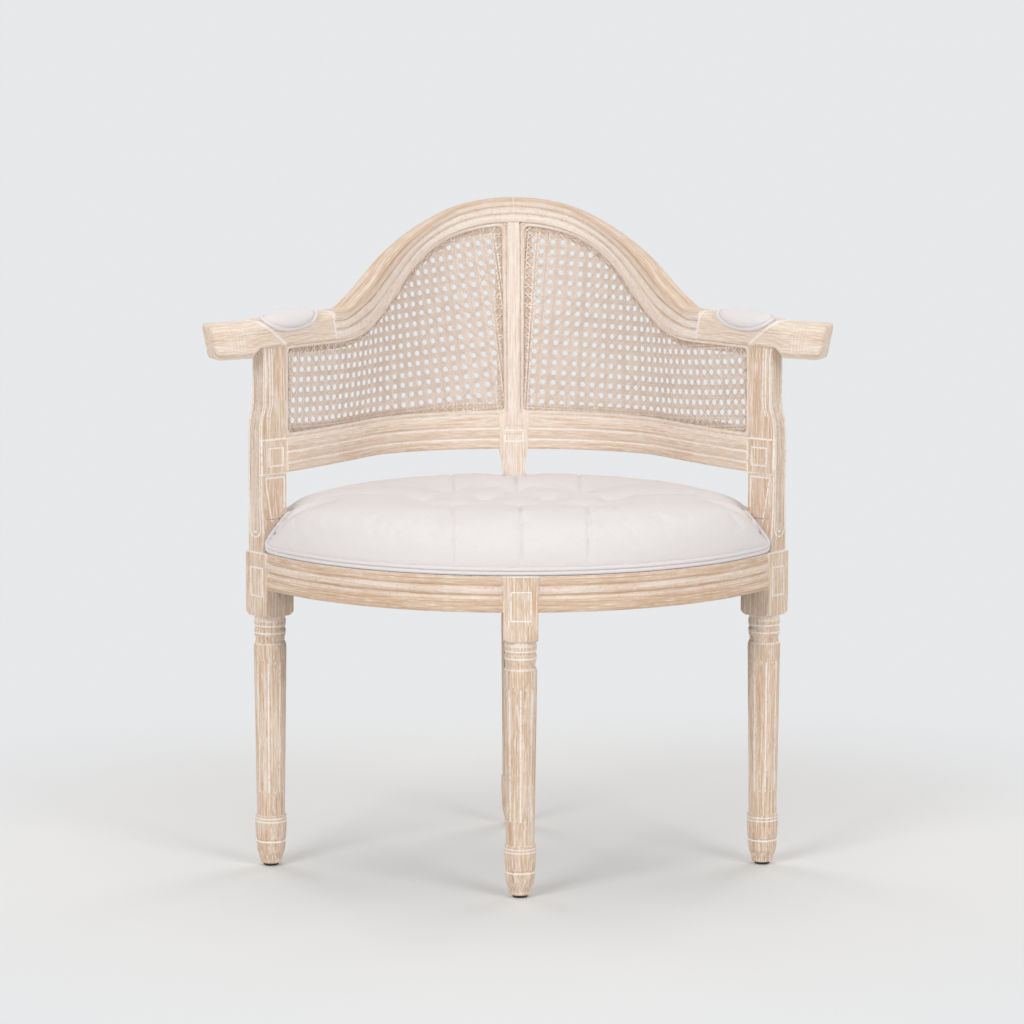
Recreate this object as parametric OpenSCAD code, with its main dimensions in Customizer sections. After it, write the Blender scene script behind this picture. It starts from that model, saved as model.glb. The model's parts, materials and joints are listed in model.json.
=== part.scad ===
// Corner chair: a bowed diamond seat on four turned legs, one of them at the
// front corner, with a caned back that wraps round from arm to arm.
// The working frame has its zero between the two side legs, with the front
// towards -Y. The whole chair is then moved so that zero is under its middle.

/* [Heights] */
// Top edge of the seat rails above the floor
rail_top = 397; // [380:1:415]
// Height of the seat rails
rail_h = 45; // [40:1:50]
// Bottom edge of the lower back rails
low_rail_bottom = 494; // [485:1:505]
// Bottom edge of the cane, on top of the lower back rails
cane_bottom = 537; // [530:1:545]
// Top edge of the cane beside the centre stile
cane_top = 779; // [770:1:790]
// Top edge of the cane beside the arm posts
cane_side_top = 651.5; // [646:0.5:658]
// Top face of the arms above the cane beside the arm posts
arm_h = 37; // [32:1:41]
// Height of the crest above the cane at the centre
crest_h = 30; // [24:1:36]

/* [Back curve in plan] */
// Distance of the cane at the centre behind the line of the side legs
back_depth = 235; // [225:1:245]
// Radius of the middle of the back
back_r = 258; // [240:1:280]
// Radius where the back turns to the side
turn_r = 150; // [130:1:170]
// Radius of the long outward sweep beside the seat
sweep_r = 955; // [850:5:1100]
// Radius of the flare of the arms
arm_r = 211; // [195:1:230]
// Heading where the middle of the back ends, in degrees
back_angle = 35; // [32:0.5:38]
// Steepest heading, at the side of the back, in degrees
turn_angle = 58.5; // [56:0.5:61]
// Heading at the arm posts, in degrees
sweep_angle = 48.5; // [46:0.5:51]
// Heading at the tips of the arms, in degrees
arm_angle = 18.8; // [16:0.2:24]

/* [Lean of the back] */
// Lean of the centre stile backwards, in degrees
back_lean = 12.9; // [8:0.1:15]
// Lean of the sides of the back towards the seat, in degrees
side_lean = 4.5; // [0:0.1:6]
// Distance round the back at which the sides lean most
side_lean_at = 250; // [220:5:280]

/* [Crest outline] */
// Radius of the crown of the crest
crown_r = 196; // [180:1:210]
// Slope where the crown ends, in degrees
crown_angle = 24; // [22:0.5:26]
// Steepest slope of the crest, in degrees
fall_angle = 30.9; // [29.5:0.1:33]
// Radius of the crest's long fall
crest_fall_r = 1847.5; // [1700:10:2000]
// Radius of the foot of the crest, where it levels out to the arms
crest_foot_r = 25; // [15:1:35]
// Radius of the crown of the cane's top edge
cane_crown_r = 203; // [190:1:215]
// Slope where the crown of the cane ends, in degrees
cane_crown_angle = 35; // [33:0.2:37]
// Steepest slope of the cane's top edge, in degrees
cane_fall_angle = 45.6; // [44:0.2:47]
// Radius of the fall of the cane's top edge
cane_fall_r = 273.9; // [260:1:290]
// Radius of the foot of the cane's top edge
cane_foot_r = 185; // [170:1:200]

/* [Back frame] */
// How far the back frame stands in front of the cane
frame_front = 8; // [6:0.5:10]
// How far the back frame stands behind the cane
frame_back = 20; // [16:0.5:24]
// Depth of the arms behind the cane line
arm_back = 34; // [28:1:38]
// Distance round the back to the joint between crest and arm
arm_joint = 292; // [288:1:300]
// Thickness of the arms at their tips
arm_tip_t = 43.5; // [38:0.5:48]
// Fall of the arms from the crest to their tips
arm_tip_drop = 6; // [0:0.5:10]
// Width of the centre stile between the cane panels
stile_w = 15; // [12:1:20]
// Width of the block on the centre stile
stile_block_w = 37; // [32:1:42]
// Width of the neck of the centre stile above the seat
stile_neck_w = 28; // [24:1:32]

/* [Legs] */
// Distance of the front leg in front of the line of the side legs
front_leg_y = 186; // [170:1:200]
// Distance of the back leg's block behind the line of the side legs
back_leg_y = 216; // [205:1:225]
// Side of the square blocks of the legs
block_w = 42; // [38:1:46]
// Height of the square blocks of the legs
block_h = 80; // [74:1:90]
// Turn of the side blocks away from square, in degrees
block_turn = 39; // [34:1:44]
// Rake of the turned part of the back leg, in degrees
back_rake = 5.5; // [0:0.5:8]
// Number of flutes round a leg
flutes = 8; // [6:1:10]

/* [Seat frame] */
// Thickness of the seat rails
rail_t = 28; // [24:1:32]
// Radius of the bow of the front rails
front_bow_r = 350; // [330:5:380]
// Radius of the bow of the back rails
back_bow_r = 430; // [400:5:480]
// Thickness of the seat board
board_t = 12; // [9:1:15]

/* [Upholstery] */
// Height of the cushion at its edge
cushion_edge_h = 61; // [52:1:66]
// Height of the cushion at its crown
cushion_crown_h = 72; // [66:1:84]
// Depth of the sewn tufts
tuft_depth = 9; // [4:1:14]
// Diameter of one cord of the double welt
welt_d = 5; // [4:0.5:6]
// Length of the arm pads
pad_l = 84; // [74:1:96]
// Thickness of the arm pads
pad_t = 8; // [5:0.5:10]

/* [Cane] */
// Thickness of the cane panels
cane_t = 2; // [1.5:0.5:3]
// Pitch of the openings, drawn coarser than the real weave
cane_pitch = 20; // [19:0.5:24]
// Width of the spline that holds the cane in its groove
spline_w = 5; // [4:0.5:6]

/* [Hidden] */
$fn = 48;

// Colours of the finishes
oak = "#cdb093";
oak_pale = "#d8c2a8";
linen = "#ece7e3";
// Reach of every cut past the surface that it leaves through
over = 40;
// Room between a soft piece and what it lies on
soft_gap = 0.3;

// Sizes that the driving sizes give
rail_bottom = rail_top - rail_h;
half_block = block_w / 2;
block_bottom = rail_top - block_h;
low_rail_h = cane_bottom - low_rail_bottom;
crest_top = cane_top + crest_h;
arm_top = cane_side_top + arm_h;
frame_t = frame_front + frame_back;

// A chain of arcs, each starting where the last one ends, in plan
plan_radii = [back_r, turn_r, -sweep_r, -arm_r];
plan_angles = [0, back_angle, turn_angle, sweep_angle, arm_angle];
function arc_length(i) =
    abs(plan_radii[i] * (plan_angles[i + 1] - plan_angles[i])) * PI / 180;
function arc_start(i) = i == 0 ? 0 : arc_start(i - 1) + arc_length(i - 1);
starts = [for (i = [0:4]) arc_start(i)];
function arc_at(s) = s <= starts[1] ? 0 : s <= starts[2] ? 1 : s <= starts[3] ? 2 : 3;
function arc_chord(i, h) =
    plan_radii[i] * [sin(h) - sin(plan_angles[i]), cos(h) - cos(plan_angles[i])];
function arc_foot(i) =
    i == 0 ? [0, back_depth] : arc_foot(i - 1) + arc_chord(i - 1, plan_angles[i]);
feet = [for (i = [0:4]) arc_foot(i)];
function heading(s) =
    let(i = arc_at(s)) plan_angles[i] + (s - starts[i]) / plan_radii[i] * 180 / PI;
function plan(s) = let(i = arc_at(s)) feet[i] + arc_chord(i, heading(s));
function along(h) = [cos(h), -sin(h)];
function outward(h) = [sin(h), cos(h)];

// Distances round the back, from the centre
post_s = starts[3];
arm_end_s = starts[4];

// Lean of the back at a distance round it, as a slope, outwards positive
function wave(x) = (1 + cos(180 * min(1, max(0, x)))) / 2;
function lean(s) =
    tan(s < side_lean_at
        ? (back_lean + side_lean) * wave(s / side_lean_at) - side_lean
        : -side_lean * wave((s - side_lean_at) / (post_s - side_lean_at)));

// A point of the back: distance round it, height, distance behind the cane,
// and the slope of a mitred end across its thickness
function spot(s, z, n, k = 0) =
    let(h = heading(s), m = n + lean(s) * (z - cane_bottom), p = plan(s)
        + m * outward(h) - m * k * along(h))
    [p[0], p[1], z];

// Fall of a chain of arcs from its crown, at a distance from the crown
function fall(s, radii, angles, i = 0) =
    i == len(radii) ? 0
    : let(r = radii[i], a = angles[i], b = angles[i + 1], run = r * (sin(b) - sin(a)))
      s <= run
      ? r * (cos(a) - cos(asin(sin(a) + s / r)))
      : r * (cos(a) - cos(b)) + fall(s - run, radii, angles, i + 1);
// The same fall as a share of the whole, which an outline is stretched by
function fall_share(s, radii, angles) =
    fall(s, radii, angles) / fall(arm_end_s, radii, angles);

crest_radii = [crown_r, crest_fall_r, -crest_foot_r];
crest_angles = [0, crown_angle, fall_angle, 0];
cane_radii = [cane_crown_r, cane_fall_r, -cane_foot_r];
cane_angles = [0, cane_crown_angle, cane_fall_angle, 0];
function crest_z(s) =
    crest_top - (crest_top - arm_top) * fall_share(s, crest_radii, crest_angles);
function cane_z(s) =
    cane_top - (cane_top - cane_side_top) * fall_share(s, cane_radii, cane_angles);

// The side legs stand where the back frame ends, turned by block_turn
post_rear = 20;
post_front = 20;
post_waist = 13;
post_inner = 8.5;
post_outer = 15.5;
cane_inset = 4;
side_leg = plan(post_s) + post_rear * along(block_turn)
    + cane_inset * outward(block_turn);
front_leg = [0, -front_leg_y];
back_leg = [0, back_leg_y];
// A point given in the turned frame of the right side leg
function by_side_leg(u, v) = side_leg + u * along(block_turn) + v * outward(block_turn);

// Furthest points at the front and back, which centre the chair
front_edge = -front_leg_y - half_block;
crest_round = 6;
back_edge = back_depth + frame_back + lean(0) * (crest_top - crest_round - cane_bottom);
middle_y = (front_edge + back_edge) / 2;

module in_place() translate([0, -middle_y, 0]) children();
module by_side(side) mirror([side < 0 ? 1 : 0, 0, 0]) children();
module at_side_leg() translate([side_leg[0], side_leg[1], 0])
    rotate([0, 0, -block_turn]) children();

// A solid skin over rings of points, all with the same count. A closed skin
// joins its last ring to its first; an open one has a face at each end.
module skin(rings, closed = false) {
    n = len(rings[0]);
    m = len(rings);
    points = [for (ring = rings) for (p = ring) p];
    sides = [for (i = [0:m - (closed ? 1 : 2)]) for (j = [0:n - 1])
        let(a = i * n + j, b = i * n + (j + 1) % n,
            c = ((i + 1) % m) * n + (j + 1) % n, d = ((i + 1) % m) * n + j)
        each [[a, b, c], [a, c, d]]];
    ends = closed ? [] : [for (j = [1:n - 2]) each
        [[0, j + 1, j], [(m - 1) * n, (m - 1) * n + j, (m - 1) * n + j + 1]]];
    polyhedron(points, concat(sides, ends));
}

// Legs: square block above, turned and fluted below
leg_r = 20.3;
back_leg_r = 16;
glide_h = 4;
turned_h = block_bottom - glide_h;
leg_shares = [
    [0, 0], [0.64, 0], [0.68, 0.008], [0.655, 0.012], [0.7, 0.02], [0.85, 0.05],
    [0.905, 0.086], [0.865, 0.093], [0.915, 0.099], [0.96, 0.153], [0.96, 0.176],
    [0.925, 0.181], [0.945, 0.186], [0.945, 0.192], [0.855, 0.198],
    [1, 0.866], [0.99, 0.882], [0.875, 0.898], [0.9, 0.914], [0.95, 0.923],
    [0.965, 0.942], [0.905, 0.949], [0.945, 0.955], [0.975, 0.978], [0.93, 0.988],
    [0.93, 1], [0, 1]
];
flute_w = 2.6;
flute_from_share = 0.29;
flute_to_share = 0.815;
flute_low_r_share = 0.875;
flute_high_r_share = 0.985;

module turned_leg(r) {
    low = turned_h * flute_from_share;
    high = turned_h * flute_to_share;
    lean_in = atan(r * (flute_high_r_share - flute_low_r_share) / (high - low));
    difference() {
        rotate_extrude()
            polygon([for (p = leg_shares) [p[0] * r, p[1] * turned_h]]);
        for (i = [0:flutes - 1])
            rotate([0, 0, i * 360 / flutes])
                translate([r * flute_low_r_share, 0, low])
                    rotate([0, lean_in, 0])
                        rotate([0, 0, 45])
                            translate([-flute_w / 2, -flute_w / 2, 0])
                                cube([flute_w, flute_w, high - low]);
    }
}

// Lines cut in a V round a rectangle, on a face that looks along -Y. The lines
// cross a little at the corners, as a chisel leaves them.
groove_w = 1.8;
groove_cross = 0.9;
module groove_frame(w, h) {
    for (x = [-w / 2, w / 2])
        translate([x, 0, 0]) rotate([0, 0, 45])
            cube([groove_w, groove_w, h + groove_cross], center = true);
    for (z = [-h / 2, h / 2])
        translate([0, 0, z]) rotate([45, 0, 0])
            cube([w + groove_cross, groove_w, groove_w], center = true);
}

pommel_r_share = 0.85;
pommel_h = 5;
mark_w_share = 0.57;
mark_h_share = 0.44;
mark_z_share = 0.54;
module leg_block(faces) {
    corner_r = half_block * sqrt(2);
    difference() {
        intersection() {
            translate([-half_block, -half_block, 0]) cube([block_w, block_w, block_h]);
            rotate_extrude()
                polygon([[0, 0], [corner_r * pommel_r_share, 0],
                    [corner_r * (1 + pommel_r_share) / 2, pommel_h / 3],
                    [corner_r, pommel_h], [corner_r, block_h], [0, block_h]]);
        }
        for (a = faces)
            rotate([0, 0, a]) translate([0, -half_block, block_h * mark_z_share])
                groove_frame(block_w * mark_w_share, block_h * mark_h_share);
    }
}

// Tenons on the rails, and the mortises that take them
tenon_l = 14;
tenon_t = 10;
tenon_h = 28;
module tenon_bar(angle) {
    rotate([0, 0, angle])
        translate([half_block - tenon_l, -tenon_t / 2, rail_top - rail_h / 2 - tenon_h / 2])
            cube([tenon_l + rail_t / 2, tenon_t, tenon_h]);
}

// Glides: a domed nail under each foot
glide_r = 9.5;
glide_flat_share = 0.8;
nail_r = 1.5;
nail_l = 12;
module glide() {
    color("#3a3630") rotate_extrude() polygon([
        [0, 0], [glide_r * glide_flat_share, 0], [glide_r, glide_h / 3], [glide_r, glide_h],
        [nail_r, glide_h], [nail_r, glide_h + nail_l], [0, glide_h + nail_l]
    ]);
}
module nail_hole() translate([0, 0, glide_h - over]) cylinder(r = nail_r, h = nail_l + over);

// Dowels, each in a bore of its own size in the two pieces that it joins
dowel_r = 4;
dowel_l = 36;
module dowel() cylinder(r = dowel_r, h = dowel_l, center = true);

module upright_leg(faces, tenons, doweled) {
    difference() {
        union() {
            translate([0, 0, glide_h]) turned_leg(leg_r);
            translate([0, 0, block_bottom]) leg_block(faces);
        }
        nail_hole();
        for (a = tenons) tenon_bar(a);
        if (doweled) translate([0, 0, rail_top]) dowel();
    }
}

module front_leg_piece() {
    color(oak) translate([0, -front_leg_y, 0]) upright_leg([0], [0, 180], false);
}
module side_leg_piece() {
    color(oak) at_side_leg() upright_leg([90, 180], [-90, 180], true);
}

// Back leg: its turned part rakes backwards from an upright block
back_foot_y = back_leg_y + turned_h * tan(back_rake);
module back_leg_piece() {
    color(oak) difference() {
        union() {
            intersection() {
                translate([0, back_leg_y, block_bottom])
                    rotate([back_rake, 0, 0])
                        translate([0, 0, -turned_h / cos(back_rake)])
                            scale(1 / cos(back_rake)) turned_leg(back_leg_r);
                translate([-over, back_leg_y - over, glide_h])
                    cube([2 * over, 3 * over, block_bottom + pommel_h - glide_h]);
            }
            translate([0, back_leg_y, block_bottom]) leg_block([180]);
        }
        translate([0, back_foot_y, 0]) nail_hole();
        translate([0, back_leg_y, 0]) for (a = [0, 180]) tenon_bar(a);
    }
}
module back_glide_piece() translate([0, back_foot_y, 0]) glide();
module front_glide_piece() translate([0, -front_leg_y, 0]) glide();
module side_glide_piece() at_side_leg() glide();

// Centre of the circle of radius r through p and q, on the side of the seat
function bow_centre(p, q, r) =
    let(m = (p + q) / 2, d = q - p, l = norm(d), h = sqrt(r * r - l * l / 4),
        a = [-d[1], d[0]] / l, side = a * m < 0 ? 1 : -1)
    m + side * h * a;

// Seat rails: a moulding turned along the bow, flush with the leg blocks
front_rail_set = 1.5;
back_rail_set = 6;
side_rail_set = 4;
front_bow = bow_centre(by_side_leg(half_block, -half_block),
    [half_block, -front_leg_y - half_block + front_rail_set], front_bow_r);
back_bow = bow_centre(by_side_leg(-half_block, half_block - side_rail_set),
    [half_block, back_leg_y + half_block - back_rail_set], back_bow_r);

// Section of a seat rail, as shares of its thickness and height
rail_shares = [
    [1, 0], [0.05, 0], [0, 0.04], [0, 0.36], [0.05, 0.4], [0.12, 0.41], [0.125, 0.44],
    [0.1, 0.5], [0.05, 0.57], [0.03, 0.62], [0.05, 0.68], [0.1, 0.7], [0.1, 0.73],
    [0.04, 0.75], [0.04, 0.97], [0.08, 1], [1, 1]
];
module rail_ring(r) {
    rotate_extrude($fn = 180)
        polygon([for (p = rail_shares)
            [r - p[0] * rail_t, rail_bottom + p[1] * rail_h]]);
}
seat_w = side_leg[0] + block_w;

module front_rail() {
    difference() {
        intersection() {
            translate([front_bow[0], front_bow[1], 0]) rail_ring(front_bow_r);
            translate([half_block, -front_leg_y - block_w, 0])
                cube([seat_w, front_leg_y + block_w + side_leg[1], rail_top + over]);
        }
        at_side_leg() translate([-block_w, -half_block, 0])
            cube([seat_w, seat_w, rail_top + over]);
    }
    translate([0, -front_leg_y, 0]) tenon_bar(0);
    at_side_leg() tenon_bar(-90);
}
module back_rail() {
    difference() {
        intersection() {
            translate([back_bow[0], back_bow[1], 0]) rail_ring(back_bow_r);
            translate([half_block, side_leg[1], 0])
                cube([seat_w, back_leg_y + block_w, rail_top + over]);
        }
        at_side_leg() translate([-half_block, -seat_w / 2, 0])
            cube([seat_w, seat_w, rail_top + over]);
    }
    translate([0, back_leg_y, 0]) tenon_bar(0);
    at_side_leg() tenon_bar(180);
}

// The space inside the rails, as a prism that grows by a margin
module inside_rails(z, h, grow) {
    for (side = [-1, 1]) by_side(side) intersection() {
        translate([front_bow[0], front_bow[1], z])
            cylinder(r = front_bow_r - rail_t + grow, h = h, $fn = 180);
        translate([back_bow[0], back_bow[1], z])
            cylinder(r = back_bow_r - rail_t + grow, h = h, $fn = 180);
        translate([0, -seat_w, z]) cube([seat_w, 2 * seat_w, h]);
    }
}
module block_prisms(room) {
    w = block_w + 2 * room;
    for (p = [front_leg, back_leg])
        translate([p[0] - w / 2, p[1] - w / 2, 0]) cube([w, w, rail_top + over]);
    for (side = [-1, 1]) by_side(side) at_side_leg()
        translate([-w / 2, -w / 2, 0]) cube([w, w, rail_top + over]);
}

// Corner braces, glued and screwed inside the rails
brace_h = 24;
brace_reach = 62;
brace_w = 170;
brace_z = rail_top - board_t - brace_h;
module brace_at(p, turn) {
    difference() {
        intersection() {
            inside_rails(brace_z, brace_h, 0);
            translate([p[0], p[1], brace_z]) rotate([0, 0, turn])
                translate([-brace_w / 2, -over, 0])
                    cube([brace_w, over + brace_reach, brace_h]);
        }
        block_prisms(0);
        brace_screws();
    }
}
module front_brace_piece() color(oak_pale) brace_at(front_leg, 0);
module back_brace_piece() color(oak_pale) brace_at(back_leg, 180);
module side_brace_piece() color(oak_pale) brace_at(side_leg, 90);

// Screws through the braces into the rails, square to the bow of each rail
screw_r = 2;
screw_head_r = 4;
screw_head_h = 3;
screw_l = 34;
screw_in_rail = 16;
screw_near = 40;
module screw() {
    translate([0, 0, brace_z + brace_h / 2]) rotate([0, 90, 0]) {
        cylinder(r = screw_r, h = screw_l);
        cylinder(r = screw_head_r, h = screw_head_h);
    }
}
function bow_turn(c, p) = atan2(p[1] - c[1], p[0] - c[0]);
module screw_on(c, r, turn)
    translate([c[0], c[1], 0]) rotate([0, 0, turn])
        translate([r - rail_t + screw_in_rail - screw_l, 0, 0]) screw();
function bow_step(r) = screw_near / r * 180 / PI;
module brace_screws() {
    front_end = bow_turn(front_bow, [half_block, -front_leg_y - half_block]);
    front_side = bow_turn(front_bow, by_side_leg(half_block, -half_block));
    back_end = bow_turn(back_bow, [half_block, back_leg_y + half_block]);
    back_side = bow_turn(back_bow, by_side_leg(-half_block, half_block));
    color("#8d8a84") for (side = [-1, 1]) by_side(side) {
        screw_on(front_bow, front_bow_r, front_end + bow_step(front_bow_r));
        screw_on(front_bow, front_bow_r, front_side - bow_step(front_bow_r));
        screw_on(back_bow, back_bow_r, back_end - bow_step(back_bow_r));
        screw_on(back_bow, back_bow_r, back_side + bow_step(back_bow_r));
    }
}
module front_rail_piece() color(oak) difference() { front_rail(); brace_screws(); }
module back_rail_piece() color(oak) difference() { back_rail(); brace_screws(); }

// Board under the cushion, let in flush between the rails
module seat_board_piece() {
    color("#c9a876") difference() {
        inside_rails(rail_top - board_t, board_t, 0);
        block_prisms(0);
    }
}

// Black cloth stapled under the rails
dust_t = 1;
module dust_cover_piece() {
    color("#1d1d1f") difference() {
        inside_rails(rail_bottom - dust_t, dust_t, rail_t / 2);
        block_prisms(soft_gap);
    }
}

// Arm posts: outlines of the inner face and of the end, both cut from one bar
post_h = cane_side_top - rail_top;
post_flare = 4;
reed_gap = 1.4;
reed_depth = 1.6;
// Front edge of the post: share of the way from its waist to its widest, share of
// its height
post_front_shares = [
    [0.86, 0], [0.93, 0.13], [1, 0.3], [1, 0.56], [0.94, 0.6], [0.71, 0.65],
    [0.26, 0.69], [0.03, 0.73], [0, 0.77], [0, 0.93], [0.09, 0.97], [0.29, 1]
];
module post_outline(inset) {
    reach = post_front - post_waist;
    polygon(concat(
        [[-post_rear, 0]],
        [for (p = post_front_shares) [post_waist + p[0] * reach - inset, p[1] * post_h]],
        [[-post_rear, post_h]]
    ));
}
module post_slice(y0, y1, inset)
    translate([0, y1, 0]) rotate([90, 0, 0]) linear_extrude(y1 - y0) post_outline(inset);
module post_bar() {
    y0 = -post_inner - post_flare;
    y1 = post_outer + post_flare / 2;
    reed = (post_inner + post_outer) / 3;
    intersection() {
        union() {
            post_slice(y0, y1, reed_depth);
            post_slice(y0, -post_inner + reed - reed_gap / 2, 0);
            post_slice(-post_inner + reed + reed_gap / 2, post_outer - reed - reed_gap / 2, 0);
            post_slice(post_outer - reed + reed_gap / 2, y1, 0);
        }
        rotate([90, 0, 90]) translate([0, 0, -over]) linear_extrude(2 * over)
            polygon([
                [y0, 0], [-post_inner - post_flare / 4, post_h / 8],
                [-post_inner, post_h / 4], [-post_inner, post_h],
                [post_outer, post_h], [post_outer, post_h / 4], [y1, 0]
            ]);
    }
}
// Raised square on the post, level with the lower back rail
square_raise = 1.5;
square_w = 38;
module post_square() {
    translate([-post_rear, -post_inner - square_raise, low_rail_bottom - rail_top])
        cube([square_w, post_inner, low_rail_h - square_raise]);
}
square_groove = 22;
square_groove_set = 2;
panel_groove_w = 24;
panel_groove_from = 40;
panel_groove_end = 3;
module side_post_piece() {
    low = low_rail_bottom - rail_top;
    mid_x = -post_rear + square_w / 2;
    color(oak) difference() {
        at_side_leg() translate([0, 0, rail_top]) difference() {
            union() { post_bar(); post_square(); }
            translate([mid_x - square_groove_set, -post_inner - square_raise,
                low + (low_rail_h - square_raise) / 2])
                groove_frame(square_groove, square_groove);
            translate([mid_x, -post_inner, (panel_groove_from + low - panel_groove_end) / 2])
                groove_frame(panel_groove_w, low - panel_groove_end - panel_groove_from);
            dowel();
            translate([0, 0, post_h]) dowel();
        }
        low_rail_dowel_post();
    }
}

// Centre stile: one board that leans with the back
function up_stile(z) = (z - cane_bottom) / cos(back_lean);
stile_front = frame_front * cos(back_lean);
stile_back = frame_back * cos(back_lean);
stile_tenon_w = 12;
stile_tenon_h = 18;
module in_lean() translate([0, back_depth, cane_bottom]) rotate([-back_lean, 0, 0])
    children();
// Neck below the block: share of the change in width, share of its height
neck_shares = [[0, 0], [0, 0.6], [0.1, 0.72], [0.35, 0.86], [1, 1]];
module stile_outline() {
    neck_h = low_rail_bottom - rail_top;
    grow = (stile_block_w - stile_neck_w) / 2;
    half = concat(
        [[stile_neck_w / 2, up_stile(rail_top - rail_h)]],
        [for (p = neck_shares)
            [stile_neck_w / 2 + p[0] * grow, up_stile(rail_top + p[1] * neck_h)]],
        [[stile_block_w / 2, 0], [stile_w / 2, 0], [stile_w / 2, up_stile(crest_top)]]
    );
    polygon(concat(half, [for (i = [len(half) - 1:-1:0]) [-half[i][0], half[i][1]]]));
}
module stile_tenon() {
    in_lean() translate([-stile_tenon_w / 2, -stile_tenon_w / 2 + stile_front, 0])
        cube([stile_tenon_w, stile_tenon_w, up_stile(cane_top + stile_tenon_h)]);
}
module stile_piece() {
    color(oak) difference() {
        union() {
            intersection() {
                in_lean() translate([0, stile_back, 0]) rotate([90, 0, 0])
                    linear_extrude(stile_front + stile_back) stile_outline();
                translate([-stile_block_w, 0, rail_top])
                    cube([2 * stile_block_w, 2 * back_depth, cane_top - rail_top]);
            }
            stile_tenon();
        }
        in_lean() translate([0, -stile_front, -low_rail_h / 2])
            groove_frame(square_groove, square_groove / 2);
        low_rail_dowel_stile();
    }
}

// Dowels of the back frame
function dowel_place(s, z) = spot(s, z, (frame_back - frame_front) / 2);
low_rail_mid = low_rail_bottom + low_rail_h / 2;
module lying_dowel(s, z) {
    p = dowel_place(s, z);
    translate(p) rotate([0, 90, -heading(s)]) dowel();
}
module low_rail_dowel_post() lying_dowel(post_s, low_rail_mid);
stile_block_s = back_r * asin(stile_block_w / 2 / back_r) * PI / 180;
module low_rail_dowel_stile()
    for (side = [-1, 1]) by_side(side) lying_dowel(stile_block_s + dowel_r, low_rail_mid);
arm_mid_z = (arm_top + cane_side_top) / 2;
module arm_dowel() lying_dowel(arm_joint, arm_mid_z);
module post_top_dowel() at_side_leg() translate([0, 0, cane_side_top]) dowel();
module post_foot_dowel() at_side_leg() translate([0, 0, rail_top]) dowel();
module dowels_piece() {
    color("#d9bd92") {
        low_rail_dowel_stile();
        for (side = [-1, 1]) by_side(side) {
            low_rail_dowel_post();
            arm_dowel();
            post_top_dowel();
            post_foot_dowel();
        }
    }
}

// Lower back rails: a moulding swept round the back, mitred at both ends
low_rail_shares = [
    [1, 0.5], [1, 0.04], [0.94, 0], [0.06, 0], [0, 0.04], [0, 0.26], [0.05, 0.3],
    [0, 0.34], [0, 0.56], [0.06, 0.61], [0.01, 0.66], [0.02, 0.78], [0.09, 1], [1, 1]
];
low_rail_steps = 26;
function frame_ring(s, shares, z0, z1, k = 0) =
    [for (p = shares) spot(s, z0 + p[1] * (z1 - z0), p[0] * frame_t - frame_front, k)];
module low_rail_piece() {
    k_stile = tan(heading(stile_block_s));
    k_post = tan(sweep_angle - block_turn);
    color(oak) difference() {
        skin([for (i = [0:low_rail_steps])
            let(s = stile_block_s + (post_s - stile_block_s) * i / low_rail_steps,
                k = i == 0 ? k_stile : i == low_rail_steps ? k_post : 0)
            frame_ring(s, low_rail_shares, low_rail_bottom, cane_bottom, k)]);
        lying_dowel(stile_block_s + dowel_r, low_rail_mid);
        low_rail_dowel_post();
    }
}

// Crest: its two groove lines part as the crest widens on the way down
crest_shares = [
    [1, 0.5], [1, 0.06], [0.94, 0], [0.07, 0], [0.01, 0.05], [0.02, 0.22], [0.09, 0.345],
    [0.02, 0.4], [-0.01, 0.5], [0.02, 0.59], [0.075, 0.635], [0, 0.7], [-0.04, 0.83],
    [0.02, 0.95], [0.2, 1], [0.8, 1], [1, 0.8]
];
crest_steps = 26;
module crest_piece() {
    color(oak) difference() {
        skin([for (i = [0:crest_steps])
            let(s = arm_joint * i / crest_steps)
            frame_ring(s, crest_shares, cane_z(s), crest_z(s))]);
        stile_tenon();
        arm_dowel();
    }
}

// Arms: a rounded section that deepens behind the crest joint
arm_round = 12;
arm_edge = 3;
arm_under_run = 14;
arm_chamfer = 8;
arm_under_from = post_s + post_rear + post_front;
function arm_depth(s) =
    frame_back + (arm_back - frame_back) * (1 - wave((s - arm_joint) / (post_s - arm_joint)));
function arm_over(s) =
    arm_top - arm_tip_drop * (1 - wave((s - arm_joint) / (arm_end_s - arm_joint)));
function arm_deep(s) = 1 - wave((s - arm_under_from) / arm_under_run);
function arm_under(s) =
    cane_side_top + (arm_top - arm_tip_drop - arm_tip_t - cane_side_top) * arm_deep(s);
undercut_angle = 13;
undercut = tan(undercut_angle);
arm_round_step = 22.5;
function arm_section(s, inset = 0) =
    let(f = -frame_front + inset, b = arm_depth(s) - inset,
        lo = arm_under(s) + inset, hi = arm_over(s) - inset, e = arm_edge, r = arm_round,
        c = e + (arm_chamfer - e) * arm_deep(s))
    concat(
        [[b, (lo + hi) / 2], [b, lo + e], [b - e, lo], [f + c, lo], [f, lo + c]],
        [for (a = [0:arm_round_step:90]) [f + r - r * cos(a), hi - r + r * sin(a)]],
        [[b - 2 * e, hi], [b, hi - 2 * e]]
    );
arm_steps = 20;
function arm_ring(s, inset = 0) =
    let(reach = max(0, (s - arm_under_from) / (arm_end_s - arm_under_from)))
    [for (p = arm_section(s, inset))
        spot(s - reach * (arm_over(s) - p[1]) * undercut, p[1], p[0])];
module arm_piece() {
    last = arm_end_s - arm_edge;
    color(oak) difference() {
        skin(concat(
            [for (i = [0:arm_steps])
                arm_ring(arm_joint + (last - arm_joint) * i / arm_steps)],
            [arm_ring(arm_end_s, arm_edge)]));
        arm_dowel();
        post_top_dowel();
    }
}

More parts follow.
